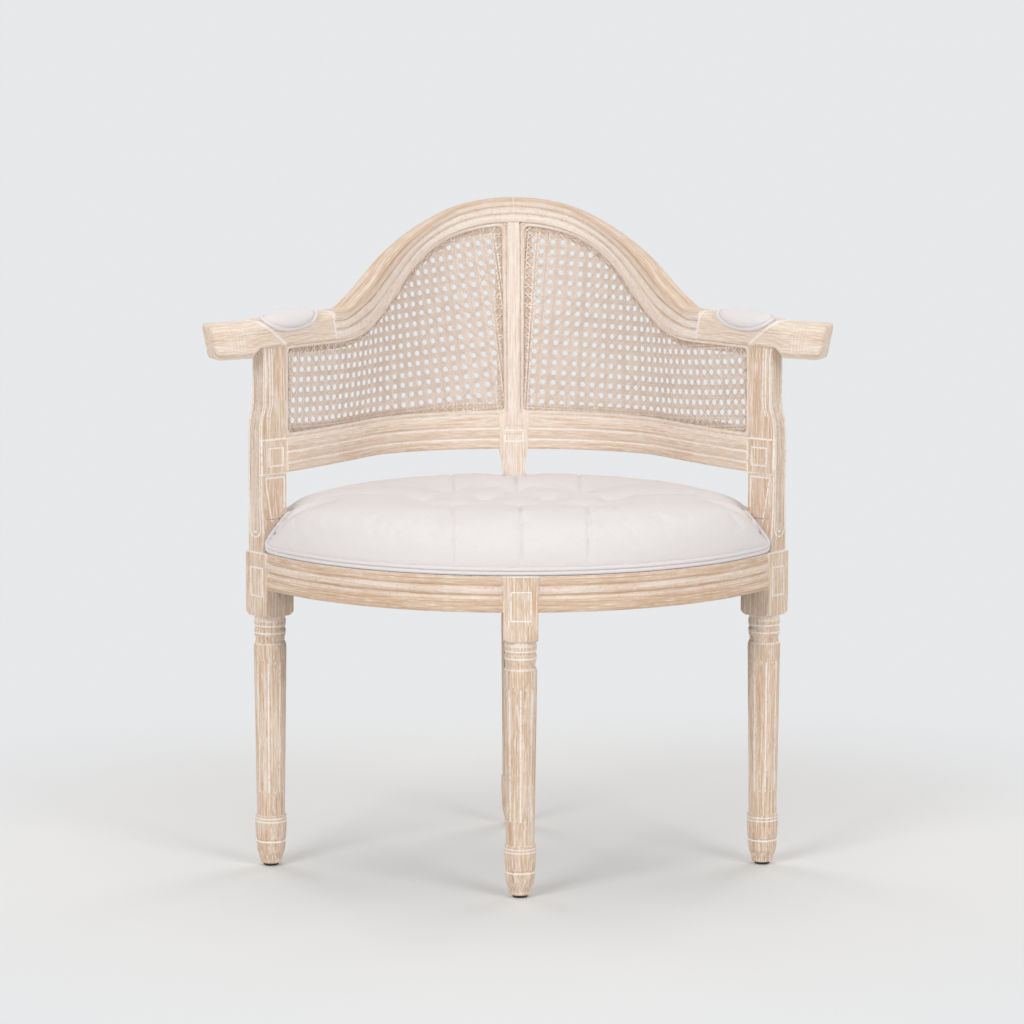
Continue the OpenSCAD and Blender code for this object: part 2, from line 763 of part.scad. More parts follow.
// Arm pads lie over the rounded inner edge of the arms, as an oval
pad_set = 43;
pad_mid = arm_joint + pad_set + pad_l / 2;
pad_mid_w = 15.5;
pad_w = 33;
pad_rings = 6;
pad_flat_share = 3;
pad_round_share = 0.6;
pad_sides = 28;
// A point w along the arm's section from the foot of its rounded edge, at a height
// h above the surface
function pad_spot(s, w, h) =
    let(r = arm_round, turn = w / r * 180 / PI)
    w < 0 ? spot(s, arm_over(s) - r + w, -frame_front - h)
    : turn < 90 ? spot(s, arm_over(s) - r + (r + h) * sin(turn),
        -frame_front + r - (r + h) * cos(turn))
    : spot(s, arm_over(s) + h, -frame_front + w - r * PI / 2 + r);
function pad_point(ring, i, top) =
    let(q = ring / pad_rings, a = i * 360 / pad_sides,
        h = soft_gap + (top ? pad_t * pow(1 - pow(q, pad_flat_share), pad_round_share) : 0))
    pad_spot(pad_mid + q * pad_l / 2 * cos(a), pad_mid_w + q * pad_w / 2 * sin(a), h);
module pad_piece() {
    n = pad_sides;
    top = [for (ring = [1:pad_rings]) for (i = [0:n - 1]) pad_point(ring, i, true)];
    low = [for (ring = [1:pad_rings - 1]) for (i = [0:n - 1]) pad_point(ring, i, false)];
    points = concat([pad_point(0, 0, true)], top, [pad_point(0, 0, false)], low);
    low_tip = 1 + len(top);
    function t(ring, i) = 1 + (ring - 1) * n + i % n;
    function l(ring, i) = ring == pad_rings ? t(ring, i) : low_tip + 1 + (ring - 1) * n + i % n;
    faces = concat(
        [for (i = [0:n - 1]) each [[0, t(1, i), t(1, i + 1)], [low_tip, l(1, i + 1), l(1, i)]]],
        [for (ring = [1:pad_rings - 1]) for (i = [0:n - 1]) each [
            [t(ring, i), t(ring + 1, i), t(ring + 1, i + 1)],
            [t(ring, i), t(ring + 1, i + 1), t(ring, i + 1)],
            [l(ring, i), l(ring + 1, i + 1), l(ring + 1, i)],
            [l(ring, i), l(ring, i + 1), l(ring + 1, i + 1)]]]
    );
    color(linen) polyhedron(points, faces);
}
pad_piping_r = 2;
pad_piping_step = 60;
module pad_piping_piece() {
    color(linen) skin([for (i = [0:pad_sides - 1])
        let(a = i * 360 / pad_sides)
        [for (b = [0:pad_piping_step:359])
            let(out = pad_piping_r * (1 + cos(b)) + soft_gap)
            pad_spot(pad_mid + (pad_l / 2 + out) * cos(a),
                pad_mid_w + (pad_w / 2 + out) * sin(a),
                soft_gap + pad_piping_r * (1 + sin(b)))]], closed = true);
}

// Splines: beads in a groove round each cane panel, with rounded corners
spline_proud = 2.6;
spline_gap = 0.4;
spline_corner = 10;
stile_s = back_r * asin(stile_w / 2 / back_r) * PI / 180;
spline_step = 14;
spline_turn_step = 30;
function slope(s) = (cane_z(s + 1) - cane_z(s - 1)) / 2;
function corner(s, z, a0, r) =
    [for (a = [0:spline_turn_step:90]) [s + r * cos(a0 + a), z + r * sin(a0 + a)]];
function steps(from, to, step) =
    let(n = ceil(abs(to - from) / step)) [for (i = [1:n - 1]) from + (to - from) * i / n];
function spline_path() =
    let(e = spline_w / 2, r = spline_corner - e,
        s0 = stile_s + spline_corner, s1 = post_s - spline_corner,
        z0 = cane_bottom + spline_corner, z1 = cane_side_top - spline_corner,
        z2 = cane_z(s0) - spline_corner)
    concat(
        [for (s = steps(s0, s1, spline_step)) [s, cane_bottom + e]],
        corner(s1, z0, -90, r),
        [for (z = steps(z0, z1, 2 * spline_step)) [post_s - e, z]],
        corner(s1, z1, 0, r),
        [for (s = steps(s1, s0, spline_step)) [s, cane_z(s) - e * norm([1, slope(s)])]],
        corner(s0, z2, 90, r),
        [for (z = steps(z2, z0, 2 * spline_step)) [stile_s + e, z]],
        corner(s0, z0, 180, r)
    );
spline_shares = [[1, 0], [0.8, 0.6], [0, 1], [-0.8, 0.6], [-1, 0]];
module spline_piece() {
    path = spline_path();
    n = len(path);
    color(oak_pale) skin([for (i = [0:n - 1])
        let(d = path[(i + 1) % n] - path[(i + n - 1) % n], out = [d[1], -d[0]] / norm(d))
        [for (p = spline_shares)
            let(q = path[i] + p[0] * spline_w / 2 * out)
            spot(q[0], q[1], -cane_t / 2 - spline_gap - p[1] * spline_proud)]], closed = true);
}

// Cane panels: a net of square openings that follows the back, cell by cell
opening_share = 0.55;
top_cell_share = 0.2;
cane_cols = floor((post_s - stile_s) / cane_pitch);
cane_col_w = (post_s - stile_s) / cane_cols;
function cane_s(c) = stile_s + c * cane_col_w;
function cane_rows(c) =
    floor((cane_z(cane_s(c + 1)) - cane_bottom) / cane_pitch - top_cell_share);
function edge_top(c) = min(cane_z(cane_s(c)), cane_top);
// Nodes up one edge between columns: row lines, then the top
function edge_nodes(c) =
    let(rows = cane_rows(max(0, c - 1)))
    concat([for (r = [0:rows]) cane_bottom + r * cane_pitch], [edge_top(c)]);
module cane_piece() {
    cols = cane_cols;
    edges = [for (c = [0:cols]) edge_nodes(c)];
    edge_from = [for (c = 0, sum = 0; c <= cols; sum = sum + len(edges[c]), c = c + 1) sum];
    edge_count = edge_from[cols] + len(edges[cols]);
    rows = [for (c = [0:cols - 1]) cane_rows(c)];
    hole_from = [for (c = 0, sum = 0; c <= cols; sum = sum + (c < cols ? rows[c] : 0), c = c + 1)
        sum];
    face_count = edge_count + 4 * hole_from[cols];
    border = (1 - opening_share) / 2;
    function face_points(n) = concat(
        [for (c = [0:cols]) for (z = edges[c]) spot(cane_s(c), z, n)],
        [for (c = [0:cols - 1]) for (r = [0:rows[c] - 1]) for (k = [[0, 0], [1, 0], [1, 1], [0, 1]])
            spot(cane_s(c) + cane_col_w * (border + k[0] * opening_share),
                cane_bottom + cane_pitch * (r + border + k[1] * opening_share), n)]
    );
    function e(c, r) = edge_from[c] + r;
    function h(c, r, k) = edge_count + 4 * (hole_from[c] + r) + k % 4;
    function cell(c, r) =
        let(o = [e(c, r), e(c + 1, r), e(c + 1, r + 1), e(c, r + 1)])
        [for (k = [0:3]) each [[o[k], o[(k + 1) % 4], h(c, r, k + 1)],
            [o[k], h(c, r, k + 1), h(c, r, k)]]];
    function cap(c) =
        let(low = rows[c], left = len(edges[c]) - 1, right = len(edges[c + 1]) - 1,
            ring = concat([e(c + 1, low), e(c + 1, right)], [for (r = [left:-1:low]) e(c, r)]))
        [for (i = [1:len(ring) - 2]) [ring[0], ring[i], ring[i + 1]]];
    front = concat(
        [for (c = [0:cols - 1]) for (r = [0:rows[c] - 1]) each cell(c, r)],
        [for (c = [0:cols - 1]) each cap(c)]
    );
    back = [for (f = front) [f[0] + face_count, f[2] + face_count, f[1] + face_count]];
    rim = concat(
        [for (c = [0:cols]) e(c, 0)],
        [for (r = [1:len(edges[cols]) - 1]) e(cols, r)],
        [for (c = [cols - 1:-1:0]) e(c, len(edges[c]) - 1)],
        [for (r = [len(edges[0]) - 2:-1:1]) e(0, r)]
    );
    loops = concat(
        [[for (i = [len(rim) - 1:-1:0]) rim[i]]],
        [for (c = [0:cols - 1]) for (r = [0:rows[c] - 1]) [for (k = [0:3]) h(c, r, k)]]
    );
    walls = [for (loop = loops) for (i = [0:len(loop) - 1])
        let(a = loop[i], b = loop[(i + 1) % len(loop)])
        each [[a, b, b + face_count], [a, b + face_count, a + face_count]]];
    color(oak_pale) polyhedron(
        concat(face_points(-cane_t / 2), face_points(cane_t / 2)),
        concat(front, back, walls));
}

// Cushion: its rim follows the rails, and steps back round the posts and stile
seat_mid = [0, 5];
cushion_set = 2;
post_room = 0.6;
arc_points = 11;
function on_circle(c, r, a) = c + r * [cos(a), sin(a)];
function circle_at_x(c, r, x, up) = atan2((up ? 1 : -1) * sqrt(r * r - pow(x - c[0], 2)), x - c[0]);
notch_u = post_front + post_room;
notch_v = -post_inner - post_flare - post_room;
rim_front_r = front_bow_r - cushion_set;
rim_back_r = back_bow_r - cushion_set;
rim_corner = by_side_leg(half_block, -half_block - cushion_set);
rim_behind = by_side_leg(-notch_u, half_block - side_rail_set - cushion_set);
notch_x = stile_neck_w / 2 + post_room;
notch_y = back_depth - frame_front - post_room
    - tan(back_lean) * (cane_bottom - rail_top);
function half_rim() =
    let(a0 = circle_at_x(front_bow, rim_front_r, 0, false), a1 = bow_turn(front_bow, rim_corner),
        b0 = bow_turn(back_bow, rim_behind),
        b1 = circle_at_x(back_bow, rim_back_r, notch_x, true))
    concat(
        [for (i = [0:arc_points]) on_circle(front_bow, rim_front_r, a0 + (a1 - a0) * i / arc_points)],
        [by_side_leg(notch_u, notch_v), by_side_leg(0, notch_v), by_side_leg(-notch_u, notch_v)],
        [for (i = [0:arc_points]) on_circle(back_bow, rim_back_r, b0 + (b1 - b0) * i / arc_points)],
        [[notch_x, notch_y]]
    );
rim_right = half_rim();
rim_points = concat(rim_right,
    [for (i = [len(rim_right) - 1:-1:1]) [-rim_right[i][0], rim_right[i][1]]]);
function cross2(a, b) = a[0] * b[1] - a[1] * b[0];
// Distance from the middle of the seat to its rim, in one direction
function rim_reach(d) =
    min([for (i = [0:len(rim_points) - 1])
        let(a = rim_points[i] - seat_mid,
            b = rim_points[(i + 1) % len(rim_points)] - seat_mid,
            turn = cross2(d, b - a), t = turn == 0 ? -1 : cross2(a, b - a) / turn,
            w = turn == 0 ? -1 : cross2(a, d) / turn)
        t > 0 && w >= 0 && w <= 1 ? t : 2 * seat_w]);

// Buttons in a diamond, three, four and three
button_pitch = 78;
button_row = 72;
button_places = [for (row = [-1:1]) for (k = row == 0 ? [-1.5:1:1.5] : [-1:1:1])
    seat_mid + [k * button_pitch, row * button_row]];
tuft_r = 24;
function tufts(p) =
    tuft_depth * max([for (b = button_places) exp(-pow(norm(p - b) / tuft_r, 2))]);
crown_share = 2.3;
cushion_z = rail_top + soft_gap;
// The edge sinks to the rail beside the front corner of each post
corner_low_share = 0.24;
corner_run = 52;
edge_sink_share = 3;
block_corner = by_side_leg(half_block, -half_block);
function edge_share(p) =
    min(1, corner_low_share
        + (1 - corner_low_share) * norm([abs(p[0]), p[1]] - block_corner) / corner_run);
function cushion_height(p, q, edge = 1) =
    cushion_z + cushion_edge_h * (1 - (1 - edge) * pow(q, edge_sink_share))
        + (cushion_crown_h - cushion_edge_h) * (1 - pow(q, crown_share)) - tufts(p);
function rim_ring(inset, h) =
    [for (p = rim_points)
        let(d = seat_mid - p, q = p + d / norm(d) * inset) [q[0], q[1], cushion_z + h]];
// Top of the welt, and a ring of the side at a share of the height above it
welt_top = 2 * welt_d;
function side_ring(inset, share) =
    [for (p = rim_points)
        let(d = seat_mid - p, q = p + d / norm(d) * inset)
        [q[0], q[1], cushion_z + welt_top
            + share * (cushion_edge_h * edge_share(p) - welt_top)]];
crown_rings = 11;
shoulder = 9;
function crown_ring(q) =
    [for (p = rim_points)
        let(d = p - seat_mid, c = seat_mid + d * (1 - shoulder / norm(d)) * q)
        [c[0], c[1], cushion_height(c, q, edge_share(p))]];
// Side of the cushion: share of the shoulder drawn in, share of the height above
// the welt
side_shares = [[0.35, 0.13], [0, 0.38], [0.05, 0.69], [0.4, 0.91]];
// A closed skin over rings that ends in a point at each end
module capped_skin(rings, low_tip, high_tip) {
    n = len(rings[0]);
    m = len(rings);
    polyhedron(concat([for (r = rings) for (p = r) p], [high_tip, low_tip]), concat(
        [for (i = [0:m - 2]) for (j = [0:n - 1])
            let(a = i * n + j, b = i * n + (j + 1) % n, c = b + n, d = a + n)
            each [[a, c, b], [a, d, c]]],
        [for (j = [0:n - 1]) let(k = (j + 1) % n)
            each [[(m - 1) * n + j, m * n, (m - 1) * n + k], [j, k, m * n + 1]]]
    ));
}
// Foam under the cover, and the pocket that holds it
foam_h = 34;
foam_set = 22;
function above_mid(z) = [seat_mid[0], seat_mid[1], z];
module cushion_body() {
    pocket = foam_set - soft_gap;
    capped_skin(
        concat(
            [rim_ring(pocket, foam_h + soft_gap), rim_ring(pocket, 0)],
            [rim_ring(welt_d + soft_gap, 0), rim_ring(welt_d + soft_gap, welt_top)],
            [for (p = side_shares) side_ring(p[0] * shoulder, p[1])],
            [for (i = [0:crown_rings - 1]) crown_ring(1 - i / crown_rings)]
        ),
        above_mid(cushion_z + foam_h + soft_gap),
        above_mid(cushion_height(seat_mid, 0))
    );
}
module seat_foam_piece() {
    color("#efe2b4") capped_skin(
        [rim_ring(foam_set, -soft_gap), rim_ring(foam_set, foam_h)],
        above_mid(rail_top), above_mid(cushion_z + foam_h));
}

module seat_cushion_piece() color(linen) cushion_body();

// Covered buttons in the tufts
button_r = 7;
button_h = 4;
button_shares = [[0, 0], [1, 0], [1, 0.25], [0.8, 0.7], [0.4, 0.95], [0, 1]];
// The cushion rises this much from the middle of a tuft to the edge of its button
button_lift = tuft_depth * (1 - exp(-pow(button_r / tuft_r, 2)));
module tuft_buttons_piece() {
    color(linen) for (b = button_places) {
        d = b - seat_mid;
        q = d == [0, 0] ? 0 : norm(d) / (rim_reach(d / norm(d)) - shoulder);
        translate([b[0], b[1], cushion_height(b, q) + button_lift + soft_gap])
            rotate_extrude()
                polygon([for (p = button_shares) [p[0] * button_r, p[1] * button_h]]);
    }
}

// Double welt round the foot of the cushion
welt_shares = [[1, 0], [0.3, 0], [0, 0.3], [0, 0.7], [0.25, 1], [0, 1.3], [0, 1.7], [0.3, 2],
    [1, 2]];
module seat_welt_piece() {
    lists = [for (p = welt_shares) rim_ring(p[0] * welt_d, p[1] * welt_d)];
    color(linen) skin([for (i = [len(rim_points) - 1:-1:0]) [for (ring = lists) ring[i]]],
        closed = true);
}

in_place() front_leg_piece();  // front_leg
in_place() by_side(-1) side_leg_piece();  // left_leg
in_place() by_side(1) side_leg_piece();  // right_leg
in_place() back_leg_piece();  // back_leg
in_place() front_glide_piece();  // front_glide
in_place() by_side(-1) side_glide_piece();  // left_glide
in_place() by_side(1) side_glide_piece();  // right_glide
in_place() back_glide_piece();  // back_glide
in_place() by_side(-1) front_rail_piece();  // front_left_rail
in_place() by_side(1) front_rail_piece();  // front_right_rail
in_place() by_side(-1) back_rail_piece();  // back_left_rail
in_place() by_side(1) back_rail_piece();  // back_right_rail
in_place() front_brace_piece();  // front_brace
in_place() by_side(-1) side_brace_piece();  // left_brace
in_place() by_side(1) side_brace_piece();  // right_brace
in_place() back_brace_piece();  // back_brace
in_place() brace_screws();
in_place() by_side(-1) side_post_piece();  // left_post
in_place() by_side(1) side_post_piece();  // right_post
in_place() stile_piece();  // centre_stile
in_place() by_side(-1) low_rail_piece();  // left_low_rail
in_place() by_side(1) low_rail_piece();  // right_low_rail
in_place() by_side(-1) crest_piece();  // left_crest
in_place() by_side(1) crest_piece();  // right_crest
in_place() by_side(-1) arm_piece();  // left_arm
in_place() by_side(1) arm_piece();  // right_arm
in_place() dowels_piece();  // dowels
in_place() by_side(-1) cane_piece();  // left_cane
in_place() by_side(1) cane_piece();  // right_cane
in_place() by_side(-1) spline_piece();  // left_spline
in_place() by_side(1) spline_piece();  // right_spline
in_place() by_side(-1) pad_piece();  // left_arm_pad
in_place() by_side(1) pad_piece();  // right_arm_pad
in_place() by_side(-1) pad_piping_piece();  // left_pad_piping
in_place() by_side(1) pad_piping_piece();  // right_pad_piping
in_place() seat_board_piece();  // seat_board
in_place() seat_foam_piece();  // seat_foam
in_place() seat_cushion_piece();  // seat_cushion
in_place() seat_welt_piece();  // seat_welt
in_place() tuft_buttons_piece();  // tuft_buttons
in_place() dust_cover_piece();  // dust_cover
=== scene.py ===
"""Looks of the corner chair: limed oak, woven cane and buttoned linen over its solids."""
import json
import math

import bpy
import numpy as np
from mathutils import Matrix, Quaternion, Vector


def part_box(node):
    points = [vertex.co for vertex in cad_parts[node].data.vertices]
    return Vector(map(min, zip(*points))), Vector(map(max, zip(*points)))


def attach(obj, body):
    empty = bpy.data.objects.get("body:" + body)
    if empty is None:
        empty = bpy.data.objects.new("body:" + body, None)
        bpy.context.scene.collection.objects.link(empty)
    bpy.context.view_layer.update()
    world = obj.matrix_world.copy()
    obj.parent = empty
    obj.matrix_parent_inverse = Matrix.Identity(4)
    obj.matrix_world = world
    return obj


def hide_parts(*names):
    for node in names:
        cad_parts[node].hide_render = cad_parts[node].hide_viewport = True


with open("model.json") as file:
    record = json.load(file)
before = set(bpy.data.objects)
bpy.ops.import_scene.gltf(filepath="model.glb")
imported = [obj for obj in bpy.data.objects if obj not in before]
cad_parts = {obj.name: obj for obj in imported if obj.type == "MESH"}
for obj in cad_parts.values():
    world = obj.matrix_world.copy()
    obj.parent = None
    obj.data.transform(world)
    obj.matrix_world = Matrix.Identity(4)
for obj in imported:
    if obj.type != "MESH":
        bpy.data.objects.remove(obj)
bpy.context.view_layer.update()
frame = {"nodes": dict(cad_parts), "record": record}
NODES = frame["nodes"]

# Sizes of the part, in metres
RAIL_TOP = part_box("front_leg")[1].z
RAIL_H = 0.045
RAIL_T = 0.028
BLOCK_W = 0.042
HALF_BLOCK = BLOCK_W / 2
LOW_RAIL_BOTTOM = 0.494
CANE_BOTTOM = 0.537
CANE_TOP = 0.779
CANE_SIDE_TOP = 0.6515
ARM_TOP = 0.6885
CREST_TOP = 0.809
BACK_DEPTH = 0.235
FRAME_FRONT = 0.008
FRAME_BACK = 0.020
FRAME_T = FRAME_FRONT + FRAME_BACK
ARM_BACK = 0.034
ARM_TIP_T = 0.0435
ARM_TIP_DROP = 0.006
ARM_JOINT = 0.292
STILE_W = 0.015
STILE_BLOCK_W = 0.037
STILE_NECK_W = 0.028
BLOCK_TURN = math.radians(39)
BACK_RAKE = math.radians(5.5)
POST_REAR = 0.020
POST_FRONT = 0.020
CANE_INSET = 0.004
FRONT_LEG_Y = 0.186
BACK_LEG_Y = 0.216
# How far the middle of the chair lies behind the line of the side legs
MIDDLE_Y = -(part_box("front_leg")[0].y + FRONT_LEG_Y + HALF_BLOCK)
SIDES = {"left": -1, "right": 1}

# Plan of the back: radii and headings of its arcs, from the centre to an arm's tip
CROWN_R = 0.258
PLAN_R = np.array([CROWN_R, 0.150, -0.955, -0.211])
PLAN_A = np.radians([0, 35, 58.5, 48.5, 18.8])
PLAN_S = np.concatenate([[0], np.cumsum(np.abs(PLAN_R * np.diff(PLAN_A)))])
PLAN_X = np.concatenate([[0], np.cumsum(PLAN_R * np.diff(np.sin(PLAN_A)))])
PLAN_Y = BACK_DEPTH + np.concatenate([[0], np.cumsum(PLAN_R * np.diff(np.cos(PLAN_A)))])
POST_S = PLAN_S[3]
ARM_END_S = PLAN_S[4]
BACK_LEAN = math.radians(12.9)
SIDE_LEAN = math.radians(4.5)
SIDE_LEAN_AT = 0.250


def arc_of(s):
    return np.clip(np.searchsorted(PLAN_S[1:4], s), 0, 3)


def heading(s):
    i = arc_of(s)
    return PLAN_A[i] + (s - PLAN_S[i]) / PLAN_R[i]


def wave(x):
    return (1 + np.cos(np.pi * np.clip(x, 0, 1))) / 2


def lean(s):
    upper = (BACK_LEAN + SIDE_LEAN) * wave(s / SIDE_LEAN_AT) - SIDE_LEAN
    side = -SIDE_LEAN * wave((s - SIDE_LEAN_AT) / (POST_S - SIDE_LEAN_AT))
    return np.tan(np.where(s < SIDE_LEAN_AT, upper, side))


def spot(s, z, n, side=1, mitre=0.0):
    """Points of the back: distance round it, height, and distance behind the cane."""
    s, z, n = np.broadcast_arrays(*(np.asarray(a, float) for a in (s, z, n)))
    i = arc_of(s)
    h = heading(s)
    m = n + lean(s) * (z - CANE_BOTTOM)
    x = PLAN_X[i] + PLAN_R[i] * (np.sin(h) - np.sin(PLAN_A[i])) + m * np.sin(h)
    y = PLAN_Y[i] + PLAN_R[i] * (np.cos(h) - np.cos(PLAN_A[i])) + m * np.cos(h)
    x = x - m * mitre * np.cos(h)
    y = y + m * mitre * np.sin(h)
    return np.stack([side * x, y - MIDDLE_Y, z], axis=-1)


def falling(crown_r, crown_a, fall_r, fall_a, foot_r):
    """An ogee of crown, long fall and foot, as a share of its whole fall."""
    angles = np.radians([0, crown_a, fall_a, 0])
    radii = np.array([crown_r, fall_r, -foot_r])
    runs = np.concatenate([[0], np.cumsum(radii * np.diff(np.sin(angles)))])
    drops = np.concatenate([[0], np.cumsum(-radii * np.diff(np.cos(angles)))])

    def fall(s):
        s = np.minimum(np.asarray(s, float), runs[3] - 1e-9)
        i = np.clip(np.searchsorted(runs[1:3], s), 0, 2)
        turned = np.sin(angles[i]) + (s - runs[i]) / radii[i]
        return drops[i] + radii[i] * (np.cos(angles[i]) - np.sqrt(1 - turned ** 2))
    return lambda s: fall(s) / fall(ARM_END_S)


crest_fall = falling(0.196, 24, 1.8475, 30.9, 0.025)
cane_fall = falling(0.203, 35, 0.2739, 45.6, 0.185)


def crest_z(s):
    return CREST_TOP - (CREST_TOP - ARM_TOP) * crest_fall(s)


def cane_z(s):
    return CANE_TOP - (CANE_TOP - CANE_SIDE_TOP) * cane_fall(s)


def from_centre(width):
    """How far round the back the side of an upright at its centre lies."""
    return CROWN_R * math.asin(width / 2 / CROWN_R)


STILE_BLOCK_S = from_centre(STILE_BLOCK_W)
STILE_S = from_centre(STILE_W)

# The right side leg, its turned frame, and points given in it
LEG_ALONG = np.array([math.cos(BLOCK_TURN), -math.sin(BLOCK_TURN)])
LEG_OUT = np.array([math.sin(BLOCK_TURN), math.cos(BLOCK_TURN)])
SIDE_LEG = np.array([PLAN_X[3], PLAN_Y[3]]) + POST_REAR * LEG_ALONG + CANE_INSET * LEG_OUT


def by_side_leg(u, v):
    return SIDE_LEG + u * LEG_ALONG + v * LEG_OUT


# Camera at the photograph's height and distance
CAMERA_AT = (-0.13156, -6.26346 - MIDDLE_Y, 1.36831)
CAMERA_YAW = math.radians(1.1411)
CAMERA_PITCH = math.radians(8.3857)
CAMERA_ROLL = math.radians(0.0894)
CAMERA_LENS = 179.84


def placed(name, data, at, turn):
    thing = bpy.data.objects.new(name, data)
    bpy.context.scene.collection.objects.link(thing)
    thing.location = at
    thing.rotation_euler = turn.to_euler()
    return thing


def make_camera():
    data = bpy.data.cameras.new("camera")
    data.lens = CAMERA_LENS
    data.sensor_width = 36
    way = Vector((math.sin(CAMERA_YAW) * math.cos(CAMERA_PITCH),
                  math.cos(CAMERA_YAW) * math.cos(CAMERA_PITCH), -math.sin(CAMERA_PITCH)))
    turn = way.to_track_quat("-Z", "Y") @ Quaternion((0, 0, 1), CAMERA_ROLL)
    bpy.context.scene.camera = placed("camera", data, CAMERA_AT, turn)


# Soft lamps: name, place, size and power
LAMPS = [("key_left", (-2.2, -3.2, 2.6), 1.6, 66), ("key_right", (2.4, -3.0, 2.4), 1.6, 50),
         ("top", (0, 0.4, 3.2), 2.0, 12), ("back_left", (-2.2, 2.8, 2.0), 1.8, 26),
         ("back_right", (2.2, 2.8, 2.0), 1.8, 26)]
LIT_AT = (0, 0, 0.4)


def make_lamp(name, at, size, power):
    data = bpy.data.lights.new(name, "AREA")
    data.shape = "SQUARE"
    data.size = size
    data.energy = power
    placed(name, data, at, (Vector(LIT_AT) - Vector(at)).to_track_quat("-Z", "Y"))


class Value:
    """A value in a shader tree, with arithmetic."""

    def __init__(self, n, socket):
        self.n, self.socket = n, socket

    def __add__(self, other):
        return self.n.maths("ADD", self, other)

    def __sub__(self, other):
        return self.n.maths("SUBTRACT", self, other)

    def __mul__(self, other):
        return self.n.maths("MULTIPLY", self, other)

    def __abs__(self):
        return self.n.maths("ABSOLUTE", self)

    def __or__(self, other):
        return self.n.maths("MAXIMUM", self, other)

    def ramp(self, low, high):
        return Value(self.n, self.n.add(
            "ShaderNodeMapRange", {"Value": self, "From Min": low, "From Max": high},
            interpolation_type="SMOOTHSTEP").outputs[0])

    def above(self, edge, soft=0.0004):
        return self.ramp(edge - soft, edge + soft)

    def below(self, edge, soft=0.0004):
        return self.ramp(edge + soft, edge - soft)

    def near(self, at, half=0.0010):
        return abs(self - at).below(half)

    def hypot(self, other):
        return self.n.maths("SQRT", self * self + other * other)


class Nodes:
    """Short calls for adding shader nodes to a tree."""

    def __init__(self, tree):
        self.tree = tree

    def add(self, kind, inputs=None, **settings):
        node = self.tree.nodes.new(kind)
        for key, value in settings.items():
            setattr(node, key, value)
        for key, value in (inputs or {}).items():
            self.set(node.inputs[key], value)
        return node

    def set(self, socket, value):
        value = value.socket if isinstance(value, Value) else value
        if isinstance(value, bpy.types.NodeSocket):
            self.tree.links.new(value, socket)
        else:
            socket.default_value = value

    def maths(self, what, a, b=0.0, clamp=False):
        node = self.add("ShaderNodeMath", {0: a, 1: b}, operation=what, use_clamp=clamp)
        return Value(self, node.outputs[0])

    def blend(self, share, a, b):
        return self.add("ShaderNodeMix", {0: share, 6: a, 7: b}, data_type="RGBA").outputs[2]

    def noise(self, vector, scale, detail=3.0, rough=0.55):
        node = self.add("ShaderNodeTexNoise", {"Vector": vector, "Scale": scale,
                                               "Detail": detail, "Roughness": rough})
        return Value(self, node.outputs["Fac"])

    def vector(self, what, inputs, output=0):
        return self.add("ShaderNodeVectorMath", inputs, operation=what).outputs[output]

    def parts(self, vector):
        return [Value(self, s) for s in
                self.add("ShaderNodeSeparateXYZ", {0: vector}).outputs]

    def attribute(self, name):
        return Value(self, self.add("ShaderNodeAttribute", attribute_name=name).outputs["Fac"])

    def own_place(self):
        return self.add("ShaderNodeTexCoord").outputs["Object"]

    def own_map(self):
        return self.add("ShaderNodeUVMap", uv_map="grain").outputs[0]

    def grouped(self, tree, inputs):
        node = self.add("ShaderNodeGroup", node_tree=tree)
        for key, value in inputs.items():
            self.set(node.inputs[key], value)
        return node.outputs


FLOAT = "NodeSocketFloat"
COLOUR = "NodeSocketColor"
VECTOR = "NodeSocketVector"


def new_group(name, takes, gives):
    """A shader node group; takes and gives map the names of sockets to their kinds."""
    tree = bpy.data.node_groups.new(name, "ShaderNodeTree")
    for way, sockets in (("INPUT", takes), ("OUTPUT", gives)):
        for socket, kind in sockets.items():
            tree.interface.new_socket(name=socket, in_out=way, socket_type=kind)
    n = Nodes(tree)
    return tree, n, n.add("NodeGroupInput").outputs, n.add("NodeGroupOutput").inputs


def make_grain_group():
    """Open oak grain that runs along Z, with lime in its pores."""
    tree, n, given, out = new_group(
        "lime_grain",
        {"Vector": VECTOR, "Wood": COLOUR, "Lime": COLOUR, "Bare": COLOUR, "White": COLOUR,
         "Lime amount": FLOAT},
        {"Color": COLOUR, "Height": FLOAT})
    lime = Value(n, given["Lime amount"])

    def streaks(across, along, detail, rough):
        stretched = n.vector("MULTIPLY", {0: given["Vector"], 1: (across, across, along)})
        return n.noise(stretched, 1.0, detail, rough)
    cloud = streaks(60, 9, 3.0, 0.6)
    lines = streaks(520, 15, 4.0, 0.62)
    pores = streaks(1500, 60, 2.0, 0.6)
    washed = n.blend((cloud * 0.35 + lines * 0.65 + lime * 0.2).ramp(0.45, 0.75),
                     given["Wood"], given["Lime"])
    # thin streaks: bare ones first, then white ones over them
    bare = streaks(620, 11, 3.0, 0.55) - lime * 0.05
    dark = n.blend(bare.ramp(0.54, 0.62) * 0.5, washed, given["Bare"])
    white = lines * 0.3 + pores * 0.7 + lime * 0.06
    n.set(out["Color"], n.blend(white.ramp(0.545, 0.62) * 0.62, dark, given["White"]))
    n.set(out["Height"], lines * 0.4 + pores * 0.6)
    return tree


